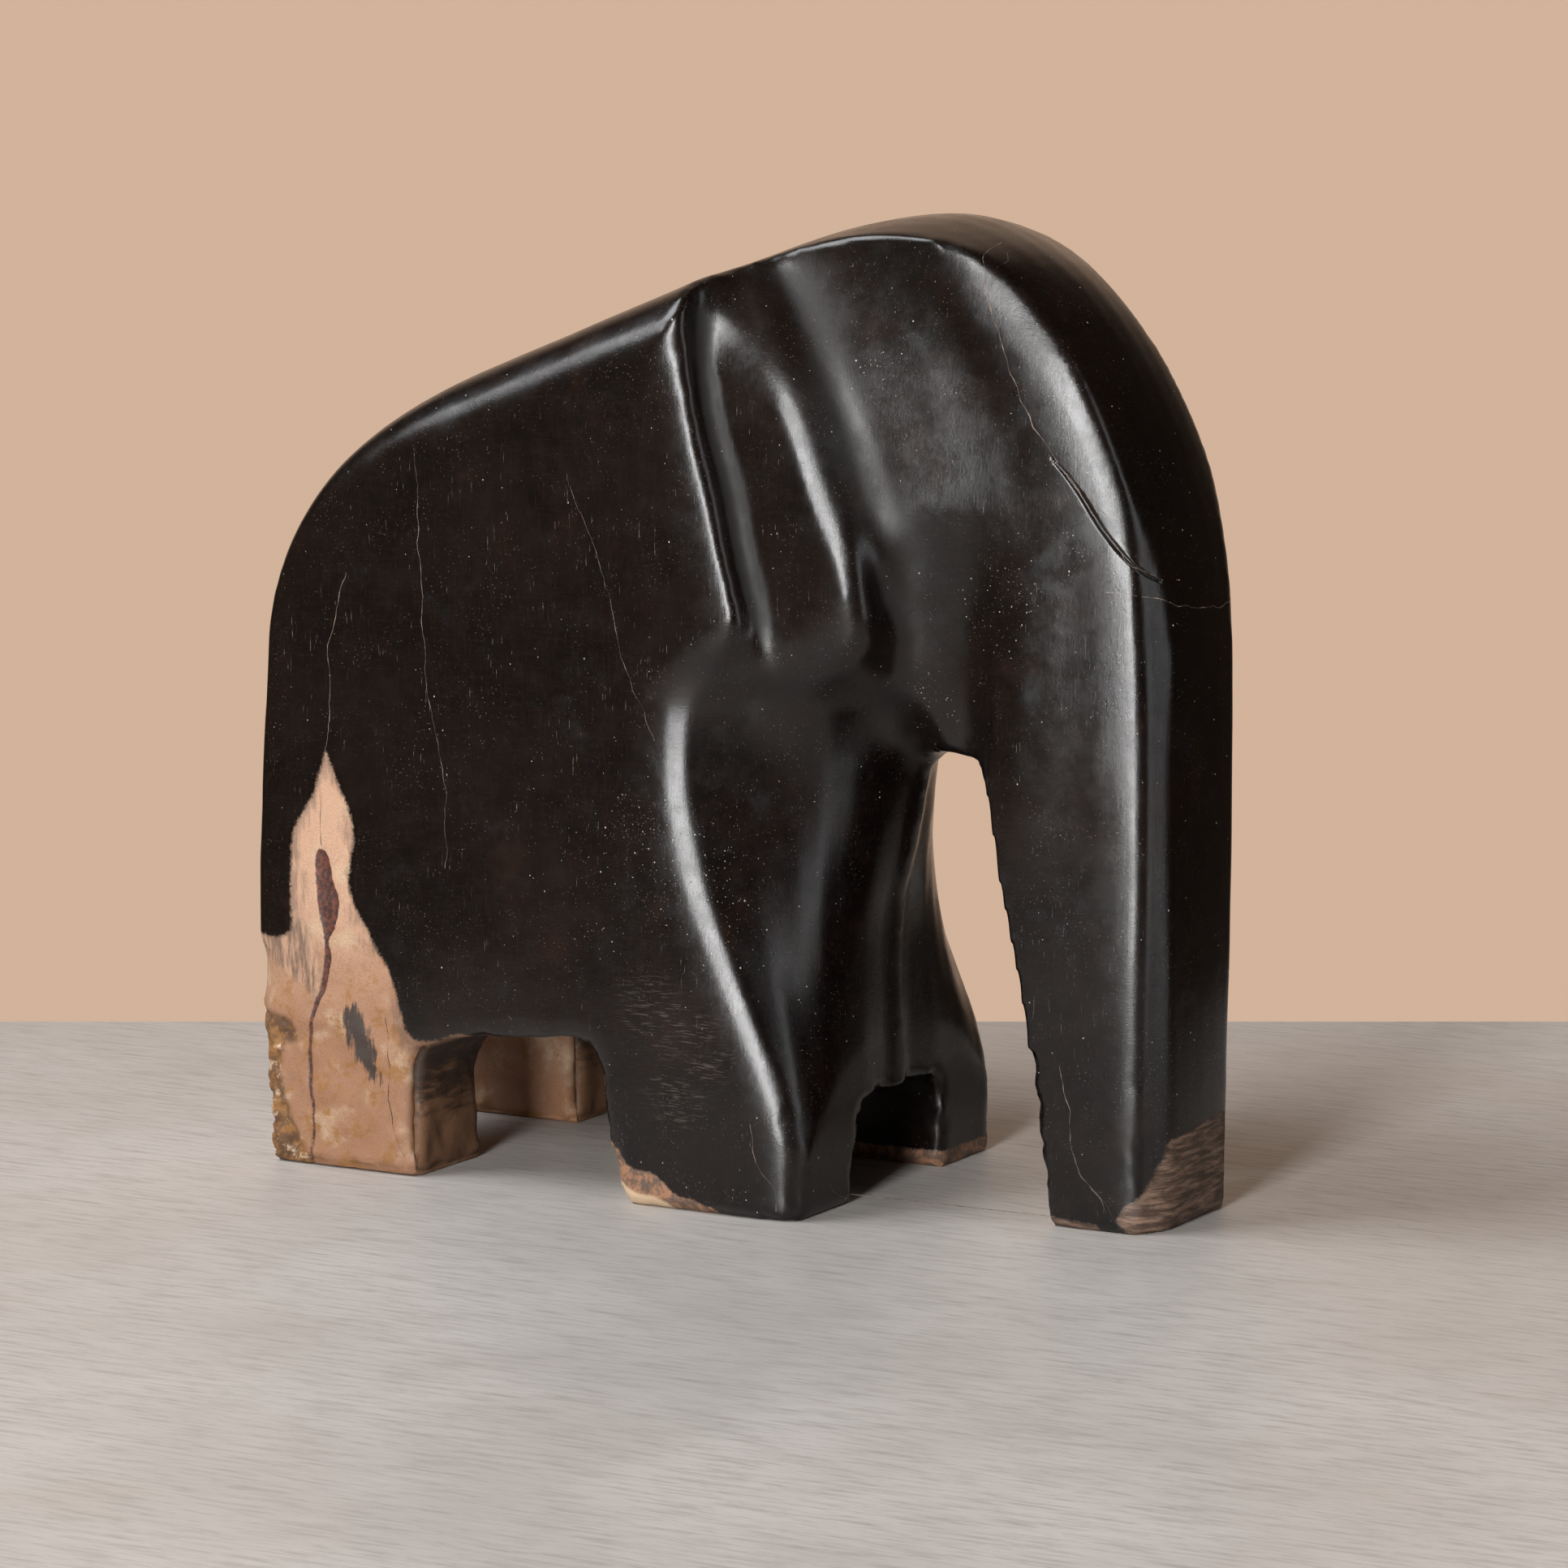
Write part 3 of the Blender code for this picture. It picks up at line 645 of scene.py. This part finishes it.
def hairline_tree():
    tree = tree_of("fill_hairlines", [
        ("Sides", "NodeSocketInt", 6),
        ("Material", "NodeSocketMaterial", None),
    ])
    given = put(tree, "NodeGroupInput").outputs
    curve = put(tree, "GeometryNodeMeshToCurve", {"Mesh": given["Geometry"]})
    width = put(tree, "GeometryNodeInputNamedAttribute", {"Name": "half_width"})
    ring = put(tree, "GeometryNodeCurvePrimitiveCircle", {
        "Resolution": given["Sides"], "Radius": 1.0,
    })
    tube = put(tree, "GeometryNodeCurveToMesh", {
        "Curve": curve.outputs["Curve"], "Profile Curve": ring.outputs["Curve"],
        "Scale": width.outputs["Attribute"], "Fill Caps": True,
    })
    real = put(tree, "GeometryNodeRealizeInstances", {"Geometry": tube.outputs["Mesh"]})
    finished = put(tree, "GeometryNodeSetMaterial", {
        "Geometry": real.outputs["Geometry"], "Material": given["Material"],
    })
    put(tree, "NodeGroupOutput", {"Geometry": finished.outputs["Geometry"]})
    return tree


def from_near(share):
    x, z = on_side([share])[0]
    return np.array([x, LOW[1] - PATH_START, z])


def from_far(share):
    x, z = on_side([share])[0]
    return np.array([x, HIGH[1] + PATH_START, z])


def from_front(share):
    y, z = LOW[1:] + np.array(share) * SPAN[1:]
    return np.array([HIGH[0] + PATH_START, y, z])


def from_above(share):
    x, y = LOW[:2] + np.array(share) * SPAN[:2]
    return np.array([x, y, HIGH[2] + PATH_START])


def fissures(stone):
    """The mineral in the closed fissures, and the shadow in the open cracks."""
    noise.seed_set(WANDER_SEED)
    faces = BVHTree.FromObject(stone, bpy.context.evaluated_depsgraph_get())
    back, forth = Vector((0, 1, 0)), Vector((0, -1, 0))
    pale = path_object("pale_paths", [
        laid_on(faces, SIDE_HAIRLINES, from_near, back),
        laid_on(faces, FAR_HAIRLINES, from_far, forth),
        laid_on(faces, FRONT_HAIRLINES, from_front, Vector((-1, 0, 0))),
        laid_on(faces, TOP_HAIRLINES, from_above, Vector((0, 0, -1))),
    ])
    dark = path_object("crack_shadow_paths", [laid_on(faces, CRACK_SHADOW_LINES, from_near, back)])
    tree = hairline_tree()
    filled = made_by(tree, pale, "mineral_hairlines",
                     {"Sides": 6, "Material": hairline_filling()})
    # Dark tubes of painted shadow along the open cracks.
    cracks = made_by(tree, dark, "painted_crack_shadows", {"Sides": 6, "Material": crack_shadow()})
    return filled, cracks


# ---------------------------------------------------------------- finishes


class Recipe:
    """A finish built up a step at a time, with its pattern in millimetres of the object."""

    def __init__(self, name):
        self.material = bpy.data.materials.new(name)
        self.material.use_nodes = True
        self.tree = self.material.node_tree
        self.shader = self.tree.nodes["Principled BSDF"]
        self.place = put(self.tree, "ShaderNodeTexCoord").outputs["Object"]

    def mapped(self, scale, turn=(0, 0, 0), shift=(0, 0, 0)):
        made = put(self.tree, "ShaderNodeMapping", {
            "Vector": self.place, "Scale": [k / MM for k in scale],
            "Rotation": turn, "Location": shift,
        })
        return made.outputs["Vector"]

    def cloud(self, length, detail=3.0, roughness=0.55, stretch=(1, 1, 1), turn=(0, 0, 0), shift=0):
        """Soft noise with lumps of this many millimetres, longer where stretch is over 1."""
        scale = [1 / (length * k) for k in stretch]
        made = put(self.tree, "ShaderNodeTexNoise", {
            "Vector": self.mapped(scale, turn, (shift, 2 * shift, 3 * shift)),
            "Scale": 1.0, "Detail": detail, "Roughness": roughness,
        })
        return made.outputs["Fac"]

    def cells(self, length):
        """The distance to the nearest of points about this many millimetres apart."""
        made = put(self.tree, "ShaderNodeTexVoronoi", {
            "Vector": self.mapped([1 / length] * 3), "Scale": 1.0,
        })
        return made.outputs["Distance"]

    def height(self):
        return put(self.tree, "ShaderNodeSeparateXYZ", {0: self.place}).outputs["Z"]

    def zone(self, name):
        """One of the values that the stone's mesh keeps at its points."""
        return put(self.tree, "ShaderNodeAttribute", attribute_name=name).outputs["Fac"]

    def calc(self, operation, a, b=0.0, c=0.0):
        return put(self.tree, "ShaderNodeMath", {0: a, 1: b, 2: c}, operation=operation).outputs[0]

    def most(self, first, *others):
        for other in others:
            first = self.calc("MAXIMUM", first, other)
        return first

    def step(self, value, start, end, low=0.0, high=1.0):
        """Eases from low to high while the value goes from start to end."""
        made = put(self.tree, "ShaderNodeMapRange", {
            "Value": value, "From Min": start, "From Max": end, "To Min": low, "To Max": high,
        }, interpolation_type="SMOOTHSTEP")
        return made.outputs["Result"]

    def blend(self, share, below, above):
        made = put(self.tree, "ShaderNodeMix", {0: share, 6: below, 7: above}, data_type="RGBA")
        return made.outputs[2]

    def finish(self, colour, roughness, height=None):
        link = self.tree.links.new
        link(colour, self.shader.inputs["Base Color"])
        link(roughness, self.shader.inputs["Roughness"])
        if height is not None:
            bump = put(self.tree, "ShaderNodeBump", {
                "Height": height, "Distance": BUMP_REACH, "Strength": BUMP_STRENGTH,
            })
            link(bump.outputs["Normal"], self.shader.inputs["Normal"])
        return self.material


def rgb(red, green, blue):
    return (red, green, blue, 1.0)


HEART_BLACK = rgb(0.0014, 0.0010, 0.0009)
HEART_BROWN = rgb(0.0052, 0.0028, 0.0021)
HEART_RED = rgb(0.0115, 0.0048, 0.0031)
BLOOM_BLUE = rgb(0.0046, 0.0054, 0.0066)
DUST = rgb(0.105, 0.082, 0.068)
TAN_ORANGE = rgb(0.30, 0.150, 0.080)
TAN_PINK = rgb(0.50, 0.305, 0.20)
TAN_CREAM = rgb(0.53, 0.385, 0.25)
SMOKE_BROWN = rgb(0.105, 0.067, 0.049)
STAIN_GREY = rgb(0.022, 0.017, 0.0155)
OCHRE = rgb(0.25, 0.115, 0.030)
CRUST_BROWN = rgb(0.075, 0.038, 0.017)
VEIN_RED = rgb(0.125, 0.036, 0.021)
VEIN_DARK = rgb(0.036, 0.015, 0.012)
TIP_BROWN = rgb(0.23, 0.145, 0.10)
TIP_DARK = rgb(0.06, 0.034, 0.022)
# Painted shade for the hind feet's inner faces: near-black and a shaded copy of the tan.
INNER_PAINTED_SHADE = rgb(0.012, 0.0055, 0.0032)
INNER_SHADED_TAN = rgb(0.15, 0.072, 0.034)
CREASE_DIRT = rgb(0.006, 0.0042, 0.0034)
POLISHED = (0.20, 0.29)     # roughness of the heartwood, where it shines most and least
UNPOLISHED = (0.48, 0.68)   # the same for the rind, the toes and the trunk's tip
BUMP_REACH = 0.10 * MM
BUMP_STRENGTH = 0.42


class WoodPatterns:
    """The noises that several of the stone's finishes share."""

    def __init__(self, wood):
        self.ragged = wood.calc("MULTIPLY_ADD", wood.cloud(1.3, 4.0, 0.7), 3.2, -1.6)
        self.ragged_fine = wood.calc("MULTIPLY_ADD", wood.cloud(0.5, 3.0, 0.7, shift=4), 1.4, -0.7)
        self.grain = wood.cloud(0.35, 4.0, 0.7, stretch=(9, 9, 1), turn=(0, math.radians(4), 0))
        self.fibre = wood.cloud(0.5, 5.0, 0.72, stretch=(1, 1, 9), turn=(0, 0.12, 0), shift=14)
        self.sparkle = wood.cloud(0.28, 2.0, 0.8, shift=8)
        self.streak = wood.cloud(1.1, 5.0, 0.7, stretch=(1, 1, 6), turn=(0, 0.35, 0), shift=23)
        scratch = wood.cloud(0.16, 2.0, 0.5, stretch=(1, 1, 26), turn=(0, 0.5, 0), shift=15)
        scratched = wood.step(wood.cloud(8, 3.0, shift=17), 0.44, 0.62, 0, 0.75)
        self.scratch = wood.calc("MULTIPLY", wood.step(scratch, 0.68, 0.78), scratched)
        self.bloom = wood.step(wood.cloud(13, 6.0, 0.66, shift=6), 0.56, 0.74, 0.0, 0.75)
        wavy_ridge = wood.calc("MULTIPLY_ADD", self.ragged_fine, 0.08, wood.zone("ridge"))
        self.crease = wood.step(wavy_ridge, -0.10, -0.42)
        crust = wood.calc("MULTIPLY_ADD", self.ragged, 0.8, wood.zone("crust"))
        self.crust = wood.step(crust, -0.5, 1.2, 0.0, 0.9)


def pale_marks(wood, pattern):
    """Where dust fills the pores, the scratches and the file strokes."""
    patchy = wood.step(wood.cloud(7, 3.0, 0.6, shift=11), 0.44, 0.70, 0.0, 0.9)
    speck = wood.calc("MULTIPLY", wood.step(wood.cells(0.75), 0.20, 0.08), patchy)
    dusty = wood.step(wood.cloud(9, 4.0, 0.6, shift=13), 0.42, 0.7, 0.0, 0.55)
    dust_and_crack_shadow = wood.calc("MULTIPLY", wood.step(pattern.sparkle, 0.63, 0.75), dusty)
    strokes = wood.cloud(0.24, 3.0, 0.6, stretch=(12, 12, 1), turn=(0, -0.2, 0), shift=18)
    hatch = wood.calc("MULTIPLY", wood.step(strokes, 0.54, 0.68), wood.zone("hatch"))
    return wood.most(speck, dust_and_crack_shadow, pattern.scratch, hatch)


def heartwood(wood, pattern):
    """Black and brown stone with red fibres, a blue bloom, pale marks and dirty creases."""
    mottle = wood.step(wood.cloud(22, 5.0, 0.62), 0.35, 0.68)
    heart = wood.blend(mottle, HEART_BLACK, HEART_BROWN)
    reddish = wood.step(wood.cloud(15, 4.0, 0.6, shift=3), 0.58, 0.78)
    heart = wood.blend(reddish, heart, HEART_RED)
    heart = wood.blend(pattern.bloom, heart, BLOOM_BLUE)
    heart = wood.blend(wood.step(pattern.grain, 0.50, 0.76, 0.0, 0.8), heart, HEART_RED)
    heart = wood.blend(wood.step(pattern.fibre, 0.50, 0.72, 0.0, 0.7), heart, HEART_RED)
    heart = wood.blend(pale_marks(wood, pattern), heart, DUST)
    return wood.blend(pattern.crease, heart, CREASE_DIRT)


def tan_rind(wood, pattern):
    """The rind, pink above and orange below, with its smoke, stains, ochre, crust and vein, and
    painted shade on the hind feet's inner faces.
    """
    low = wood.step(wood.height(), LOW[2] + 0.30 * SPAN[2], LOW[2] + 0.13 * SPAN[2])
    tan = wood.blend(low, TAN_PINK, TAN_ORANGE)
    creamy = wood.step(wood.cloud(7, 4.0, shift=19), 0.5, 0.75, 0.0, 0.75)
    tan = wood.blend(creamy, tan, TAN_CREAM)
    tan = wood.blend(wood.step(pattern.sparkle, 0.42, 0.66, 0.0, 0.35), tan, SMOKE_BROWN)
    ochre = wood.step(wood.cloud(3.6, 5.0, 0.75, shift=21), 0.52, 0.62)
    ochre = wood.calc("MULTIPLY", ochre, low)
    tan = wood.blend(wood.calc("MULTIPLY", ochre, 0.85), tan, OCHRE)

    uneven = wood.calc("SUBTRACT", pattern.streak, 0.5)
    halo_reach = wood.step(wood.cloud(9, 3.0, shift=25), 0.35, 0.65, 1.2, 7.5)
    halo = wood.calc("SUBTRACT", 1.0, wood.calc("DIVIDE", wood.zone("rind"), halo_reach))
    halo = wood.calc("MULTIPLY_ADD", uneven, 2.2, halo)
    tan = wood.blend(wood.step(halo, 0.3, 1.1, 0.0, 0.6), tan, SMOKE_BROWN)
    smoke = wood.calc("MULTIPLY_ADD", pattern.ragged, 1.0, wood.zone("smoke"))
    smoky = wood.blend(wood.step(pattern.streak, 0.35, 0.7), SMOKE_BROWN, TAN_PINK)
    tan = wood.blend(wood.step(smoke, -0.6, 1.6, 0.0, 0.8), tan, smoky)
    stain = wood.calc("MULTIPLY_ADD", uneven, 7.0, wood.zone("stain"))
    tan = wood.blend(wood.step(stain, -0.4, 0.9, 0.0, 0.93), tan, STAIN_GREY)

    rusty = wood.step(wood.cloud(2.2, 5.0, 0.72, shift=27), 0.40, 0.62)
    crust = wood.blend(rusty, CRUST_BROWN, OCHRE)
    pale = wood.step(wood.cloud(3.4, 4.0, 0.7, shift=29), 0.54, 0.64)
    crust = wood.blend(pale, crust, TAN_CREAM)
    tan = wood.blend(pattern.crust, tan, crust)
    vein_depth = wood.calc("MULTIPLY_ADD", pattern.ragged_fine, 0.5, wood.zone("vein"))
    red = wood.step(wood.cloud(0.9, 4.0, 0.7, shift=31), 0.42, 0.6)
    vein = wood.blend(red, VEIN_DARK, VEIN_RED)
    tan = wood.blend(wood.step(vein_depth, -0.15, 0.15), tan, vein)

    # Painted shade on the hind feet's inner faces: dark streaky tan, with painted light that lightens
    # it towards the floor.
    slant = (math.radians(28), 0, 0)
    slash = wood.cloud(1.5, 6.0, 0.75, stretch=(1, 7, 1), turn=slant, shift=47)
    slash = wood.calc("MULTIPLY_ADD", wood.zone("inner_painted_light"), 0.35, slash)
    inside = wood.blend(wood.step(slash, 0.50, 0.76), INNER_PAINTED_SHADE, INNER_SHADED_TAN)
    return wood.blend(wood.step(wood.zone("inner_painted_shade"), 0.25, 0.75, 0.0, 0.92), tan, inside)


def front_toes(wood, pattern):
    """The tan edges under the front feet, cream at the very bottom."""
    orange = wood.step(wood.cloud(1.6, 5.0, 0.7, shift=33), 0.42, 0.62)
    toe = wood.blend(orange, SMOKE_BROWN, TAN_ORANGE)
    cream_depth = wood.calc("MULTIPLY_ADD", pattern.ragged, 0.3, wood.zone("cream"))
    return wood.blend(wood.step(cream_depth, -0.5, 0.3), toe, TAN_CREAM)


def trunk_tip(wood):
    """The rough brown end of the trunk, with its grain on a slant."""
    slant = (math.radians(-24), 0, 0)
    slanting = wood.cloud(1.0, 6.0, 0.72, stretch=(8, 8, 1), turn=slant, shift=35)
    tip = wood.blend(wood.step(slanting, 0.42, 0.64), TIP_DARK, TIP_BROWN)
    return wood.blend(wood.step(slanting, 0.60, 0.8, 0, 0.6), tip, TAN_PINK)


def petrified_wood():
    """Polished black heartwood with the tan rind, and the pale toes and trunk tip."""
    wood = Recipe("petrified_wood")
    pattern = WoodPatterns(wood)
    ragged = pattern.ragged
    rind_depth = wood.calc("ADD", wood.zone("rind"), pattern.ragged_fine)
    rind_depth = wood.calc("MULTIPLY_ADD", ragged, 0.35, rind_depth)
    rind = wood.step(rind_depth, -0.35, 0.55)
    toe = wood.step(wood.calc("MULTIPLY_ADD", ragged, 0.45, wood.zone("toe")), -0.3, 0.3)
    tip = wood.step(wood.calc("MULTIPLY_ADD", ragged, 0.5, wood.zone("tip")), -0.4, 0.4)
    matt = wood.most(rind, toe, tip)

    colour = wood.blend(rind, heartwood(wood, pattern), tan_rind(wood, pattern))
    colour = wood.blend(toe, colour, front_toes(wood, pattern))
    colour = wood.blend(tip, colour, trunk_tip(wood))
    patchy = wood.step(wood.cloud(2.0, 4.0, 0.7, shift=37), 0.45, 0.65, 0.0, 0.5)
    worn = wood.calc("MULTIPLY", wood.step(wood.zone("hollow"), 0.3, 0.9), patchy)
    worn = wood.calc("MULTIPLY", worn, wood.calc("SUBTRACT", 1.0, matt))
    colour = wood.blend(worn, colour, SMOKE_BROWN)

    gloss = wood.step(wood.cloud(5, 5.0, 0.65, shift=39), 0.3, 0.75, *POLISHED)
    gloss = wood.calc("MULTIPLY_ADD", pattern.bloom, 0.10, gloss)
    gloss = wood.calc("MULTIPLY_ADD", pattern.crease, 0.38, gloss)
    gloss = wood.calc("MULTIPLY_ADD", wood.zone("dull"), 0.22, gloss)
    rough = wood.step(wood.cloud(3, 4.0, shift=41), 0.3, 0.7, *UNPOLISHED)
    rough = wood.calc("MULTIPLY_ADD", pattern.crust, 0.12, rough)
    roughness = put(wood.tree, "ShaderNodeMix", {0: matt, 2: gloss, 3: rough}).outputs[0]

    height = wood.calc("MULTIPLY", pattern.grain, 0.25)
    height = wood.calc("MULTIPLY_ADD", pattern.sparkle, 0.35, height)
    height = wood.calc("MULTIPLY_ADD", wood.cloud(1.6, 4.0, 0.65, shift=43), 0.5, height)
    height = wood.calc("MULTIPLY_ADD", pattern.scratch, -0.5, height)
    height = wood.calc("MULTIPLY_ADD", pattern.fibre, 0.35, height)
    coarse = wood.calc("MULTIPLY", wood.cloud(0.8, 5.0, 0.75, shift=45), 3.0)
    height = wood.calc("ADD", height, wood.calc("MULTIPLY", matt, coarse))
    return wood.finish(colour, roughness, height)


def fleck_crystal():
    """Pale chalcedony in the pores."""
    crystal = Recipe("fleck_crystal")
    tint = crystal.step(crystal.cloud(2.0, 2.0, shift=1), 0.35, 0.7)
    colour = crystal.blend(tint, rgb(0.13, 0.12, 0.11), rgb(0.42, 0.40, 0.37))
    rough = crystal.step(crystal.cloud(1.0, 2.0, shift=2), 0.3, 0.7, 0.3, 0.55)
    return crystal.finish(colour, rough)


def hairline_filling():
    """Tan mineral that filled the fissures."""
    filling = Recipe("hairline_filling")
    tint = filling.step(filling.cloud(1.6, 4.0, 0.7, shift=3), 0.35, 0.65)
    colour = filling.blend(tint, rgb(0.05, 0.035, 0.028), rgb(0.27, 0.20, 0.16))
    rough = filling.step(filling.cloud(0.6, 3.0, shift=4), 0.3, 0.7, 0.45, 0.75)
    return filling.finish(colour, rough)


def crack_shadow():
    """Painted shadow in the open cracks: near-black with a little brown."""
    # The finish of the painted shadow in the open cracks.
    dust_and_crack_shadow = Recipe("crack_painted_shadow")
    tint = dust_and_crack_shadow.step(dust_and_crack_shadow.cloud(0.7, 4.0, 0.7, shift=5), 0.45, 0.75)
    colour = dust_and_crack_shadow.blend(tint, rgb(0.006, 0.005, 0.005), rgb(0.05, 0.035, 0.026))
    rough = dust_and_crack_shadow.step(dust_and_crack_shadow.cloud(0.5, 3.0, shift=6), 0.3, 0.7, 0.6, 0.9)
    return dust_and_crack_shadow.finish(colour, rough)


# ---------------------------------------------------------------- studio


VIEW_AZIMUTH, VIEW_ELEVATION = 29.5, 8.6
VIEW_DISTANCE = 6.733       # these three are shares of the carving's height
VIEW_HEIGHT = 0.4062
VIEW_SHIFT = 0.0135
LENS_MM, SENSOR_MM = 150, 36
SLAB_GREY = rgb(0.475, 0.45, 0.425)
SLAB_PALE = rgb(0.56, 0.535, 0.51)
SLAB_STREAK = rgb(0.33, 0.31, 0.29)
AIR_COLOUR = rgb(0.645, 0.45, 0.326)
SLAB_FRONT, SLAB_BEHIND, SLAB_SIDE, SLAB_THICK = 0.30, 0.15, 0.21, 0.03
LIGHT_DISTANCE = 1.5
# Each glow's azimuth, the cosines between which it grows from nothing to full, and its strength.
BACKDROP_GLOW = (209.5, 0.84, 0.965, 0.94)
FRONT_GLOW = (-30.0, 0.2, 0.95, 0.16)
DIM_AIR = 0.06


def looking_from(azimuth, elevation):
    """The direction towards a viewer that far round from the right side and that high up."""
    a, e = math.radians(azimuth), math.radians(elevation)
    return Vector((math.sin(a) * math.cos(e), -math.cos(a) * math.cos(e), math.sin(e)))


def camera():
    data = bpy.data.cameras.new("camera")
    data.lens, data.sensor_width = LENS_MM, SENSOR_MM
    eye = bpy.data.objects.new("camera", data)
    bpy.context.scene.collection.objects.link(eye)
    back = looking_from(VIEW_AZIMUTH, VIEW_ELEVATION)
    right = looking_from(VIEW_AZIMUTH + 90, 0)
    target = Vector((0, 0, LOW[2] + VIEW_HEIGHT * SPAN[2])) + right * VIEW_SHIFT * SPAN[2]
    eye.location = target + back * VIEW_DISTANCE * SPAN[2]
    eye.rotation_mode = "QUATERNION"
    eye.rotation_quaternion = (-back).to_track_quat("-Z", "Y")
    bpy.context.scene.camera = eye


def soft_light(name, azimuth, elevation, width, height, watts, colour, distance=LIGHT_DISTANCE):
    """A rectangular light that faces the middle of the carving."""
    data = bpy.data.lights.new(name, "AREA")
    data.shape = "RECTANGLE"
    data.size, data.size_y = width, height
    data.energy = watts
    data.color = colour
    light = bpy.data.objects.new(name, data)
    bpy.context.scene.collection.objects.link(light)
    back = looking_from(azimuth, elevation)
    light.location = MIDDLE + back * distance
    light.rotation_mode = "QUATERNION"
    light.rotation_quaternion = back.to_track_quat("Z", "Y")


def floor():
    """A pale streaked slab, whose back edge is a little behind the carving."""
    forward = looking_from(VIEW_AZIMUTH, 0)
    right = looking_from(VIEW_AZIMUTH + 90, 0)
    plan = [(SLAB_FRONT, -SLAB_SIDE), (SLAB_FRONT, SLAB_SIDE),
            (-SLAB_BEHIND, SLAB_SIDE), (-SLAB_BEHIND, -SLAB_SIDE)]
    corners = []
    for z in (LOW[2] - SLAB_THICK, LOW[2]):
        for along, across in plan:
            corners.append(forward * along + right * across + Vector((0, 0, z)))
    faces = [(3, 2, 1, 0), (4, 5, 6, 7), (0, 1, 5, 4), (1, 2, 6, 5), (2, 3, 7, 6), (3, 0, 4, 7)]
    mesh = bpy.data.meshes.new("floor")
    mesh.from_pydata(corners, [], faces)
    slab = bpy.data.objects.new("floor", mesh)
    bpy.context.scene.collection.objects.link(slab)
    stone = Recipe("pale_floor")
    cloudy = stone.cloud(30, 4.0, 0.6, stretch=(3, 3, 1), shift=1)
    colour = stone.blend(stone.step(cloudy, 0.3, 0.7), SLAB_GREY, SLAB_PALE)
    crosswise = (0, 0, -math.radians(VIEW_AZIMUTH))
    streak = stone.cloud(1.6, 6.0, 0.8, stretch=(9, 1, 1), turn=crosswise, shift=2)
    colour = stone.blend(stone.step(streak, 0.44, 0.66, 0.0, 0.8), colour, SLAB_STREAK)
    mesh.materials.append(stone.finish(colour, stone.step(cloudy, 0.3, 0.7, 0.42, 0.52)))


def studio_air():
    """Warm surroundings: a glowing backdrop behind, a wide soft glow in front, dim elsewhere."""
    world = bpy.data.worlds.new("studio")
    world.use_nodes = True
    tree = world.node_tree
    around = put(tree, "ShaderNodeVectorMath", {
        0: put(tree, "ShaderNodeTexCoord").outputs["Generated"], 1: (1.0, 1.0, 0.0),
    }, operation="MULTIPLY").outputs[0]
    direction = put(tree, "ShaderNodeVectorMath", {0: around}, operation="NORMALIZE").outputs[0]
    glow = None
    for azimuth, start, end, strength in (BACKDROP_GLOW, FRONT_GLOW):
        facing = put(tree, "ShaderNodeVectorMath", {
            0: direction, 1: looking_from(azimuth, 0),
        }, operation="DOT_PRODUCT").outputs["Value"]
        part = put(tree, "ShaderNodeMapRange", {
            "Value": facing, "From Min": start, "From Max": end, "To Min": 0.0, "To Max": strength,
        }, interpolation_type="SMOOTHSTEP").outputs["Result"]
        glow = part if glow is None else put(
            tree, "ShaderNodeMath", {0: glow, 1: part}, operation="ADD").outputs[0]
    total = put(tree, "ShaderNodeMath", {0: glow, 1: DIM_AIR}, operation="ADD").outputs[0]
    air = tree.nodes["Background"]
    air.inputs["Color"].default_value = AIR_COLOUR
    tree.links.new(total, air.inputs["Strength"])
    bpy.context.scene.world = world


def light_the_studio():
    soft_light("key_light", -55, 50, 0.9, 0.9, 21, (0.95, 0.97, 1.0), distance=1.6)
    soft_light("strip_light", 10, 11, 0.26, 1.35, 30, (1.0, 1.0, 1.0))
    soft_light("side_light", 81, 12, 0.45, 1.6, 3.6, (0.97, 0.98, 1.0))
    studio_air()
    bpy.context.scene.view_settings.view_transform = "Standard"


# ---------------------------------------------------------------- putting it together


stone = carved_stone()
stone.data.materials.append(petrified_wood())
flecks = made_by(fleck_tree(), stone, "mineral_flecks", {
    "Flecks per square metre": 700000.0, "Smallest": 0.000045, "Largest": 0.00017,
    "Flatness": 0.4, "Seed": 11, "Material": fleck_crystal(),
})
hairlines, cracks = fissures(stone)

for piece in (stone, flecks, hairlines, cracks):
    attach(piece, "root")
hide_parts("elephant_carving")

camera()
floor()
light_the_studio()
